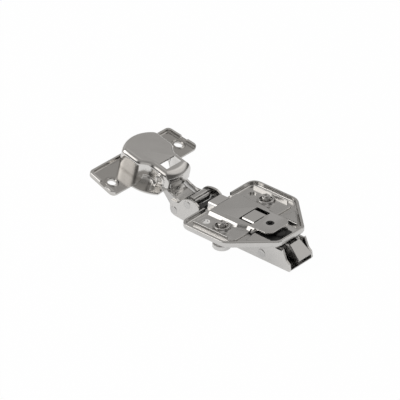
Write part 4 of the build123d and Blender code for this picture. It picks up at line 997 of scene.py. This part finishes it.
def hat(name, inset, bottom, front):
    """The hat's body: its foot flares into the floor and its top edge is rolled."""
    levels = [(2.3, bottom), (2.3, -2.04), (1.85, -1.94), (1.45, -1.7), (1.05, -1.25),
              (0.65, -0.75), (0.25, -0.33), (-0.15, -0.1), (-0.6, 0.0), (-1.0, 0.0)]
    return solid_from_rings(name, [[(*point, z - (inset if z > bottom else 0))
                                    for point in hat_plan(grow - inset, front)]
                                   for grow, z in levels])


FLOOR_LOW, FLOOR_TOP, SHEET = -2.8, -2.0, 0.8
COLLAR_BORE, CAM_HOLE = 3.2, 2.07
plate = plan_solid("floor", square(-14.0, 12.0, -22.3, 22.3, 3.2), FLOOR_LOW, FLOOR_TOP,
                   0.2, 0.2)
tongue = anticlockwise(rounded([
    (9.0, -TONGUE_HALF, 0), (20.6, -TONGUE_HALF), (23.2, -5.6), (23.2, 5.6),
    (20.6, TONGUE_HALF), (9.0, TONGUE_HALF, 0)], 1.6))
chain = [("UNION", hat("hat", 0.0, FLOOR_LOW, HAT_FRONT)),
         ("UNION", plan_solid("tongue", tongue, -SHEET, 0.0, 0.1, 0.25))]
for side in (-1, 1):
    lip = square(-13.0, 9.0, *sorted((side * 21.5, side * 22.3)), 0.35)
    chain.append(("UNION", plan_solid("lip", lip, FLOOR_LOW, -0.5, 0.0, 0.3)))
    chain.append(("UNION", turned_solid("collar", [
        (0, -2.5), (5.1, -2.5), (5.05, -1.92), (4.65, -1.78), (4.35, -1.4), (4.2, -0.9),
        (4.15, -0.6), (4.05, -0.42), (3.88, -0.32), (3.7, -0.3), (0, -0.3)], 64,
        (0, side * FIXING_Y))))
chain.append(("DIFFERENCE", hat("hollow", SHEET, FLOOR_LOW - 1.0, -14.5)))
for side in (-1, 1):
    chain.append(("DIFFERENCE", turned_solid("bore", [
        (0, -4), (COLLAR_BORE, -4), (COLLAR_BORE, -0.6), (COLLAR_BORE + 0.1, -0.4),
        (COLLAR_BORE + 0.3, -0.25), (COLLAR_BORE + 0.3, 0.5), (0, 0.5)], 64,
        (0, side * FIXING_Y))))
    chain.append(("DIFFERENCE", upright("gauge", -9.3, side * 16.8, 2.05, -4, 0)))
chain += [("DIFFERENCE", plan_solid("key slot", square(2.4, 10.8, -6.8, 6.8, 0.5), -0.95, 1)),
          ("DIFFERENCE", upright("cam hole", 16.5, 0, CAM_HOLE, -2, 1)),
          ("DIFFERENCE", plan_solid("front cut", square(-16, -13, -11.8, 11.8), -4, 1)),
          ("DIFFERENCE", plan_solid("behind", square(12.0, 15.0, -12, 12), -4, -SHEET))]
base = combined("pressed_base", plate, chain)
dress(base, "plate_steel", "plate_steel", "plate", "base_plate")

# %% Each node takes its finish
NODE_FINISH = {
    # The guide block and the height cam take the near-black plastic, which also paints the shade
    # in the openings above them.
    "base_plate": "plate_steel", "wing_plate": "wing_steel", "guide_block": "black_plastic",
    "height_cam": "black_plastic", "fixing_screw_near": "screw_steel",
    "fixing_screw_far": "screw_steel", "inner_channel": "channel_steel",
    "depth_cam": "screw_steel", "overlay_screw": "screw_steel", "hinge_arm": "arm_steel",
    "upper_rivet": "rivet_steel", "front_rivet": "rivet_steel", "rear_rivet": "rivet_steel",
    "release_lever": "lever_zinc", "lever_pin": "pin_steel", "lever_spring": "spring_steel",
    "hinge_cup": "cup_steel", "cup_axle": "pin_steel", "outer_link": "link_steel",
    "inner_link": "link_steel", "closing_spring": "spring_steel",
    "damper_housing": "damper_plastic", "damper_cylinder": "damper_plastic",
    "damper_plunger": "damper_plastic",
}
for name, finish_name in NODE_FINISH.items():
    for material_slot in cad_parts[name].material_slots:
        material_slot.material = finishes[finish_name]
print("dressed", len(NODE_FINISH), "nodes")
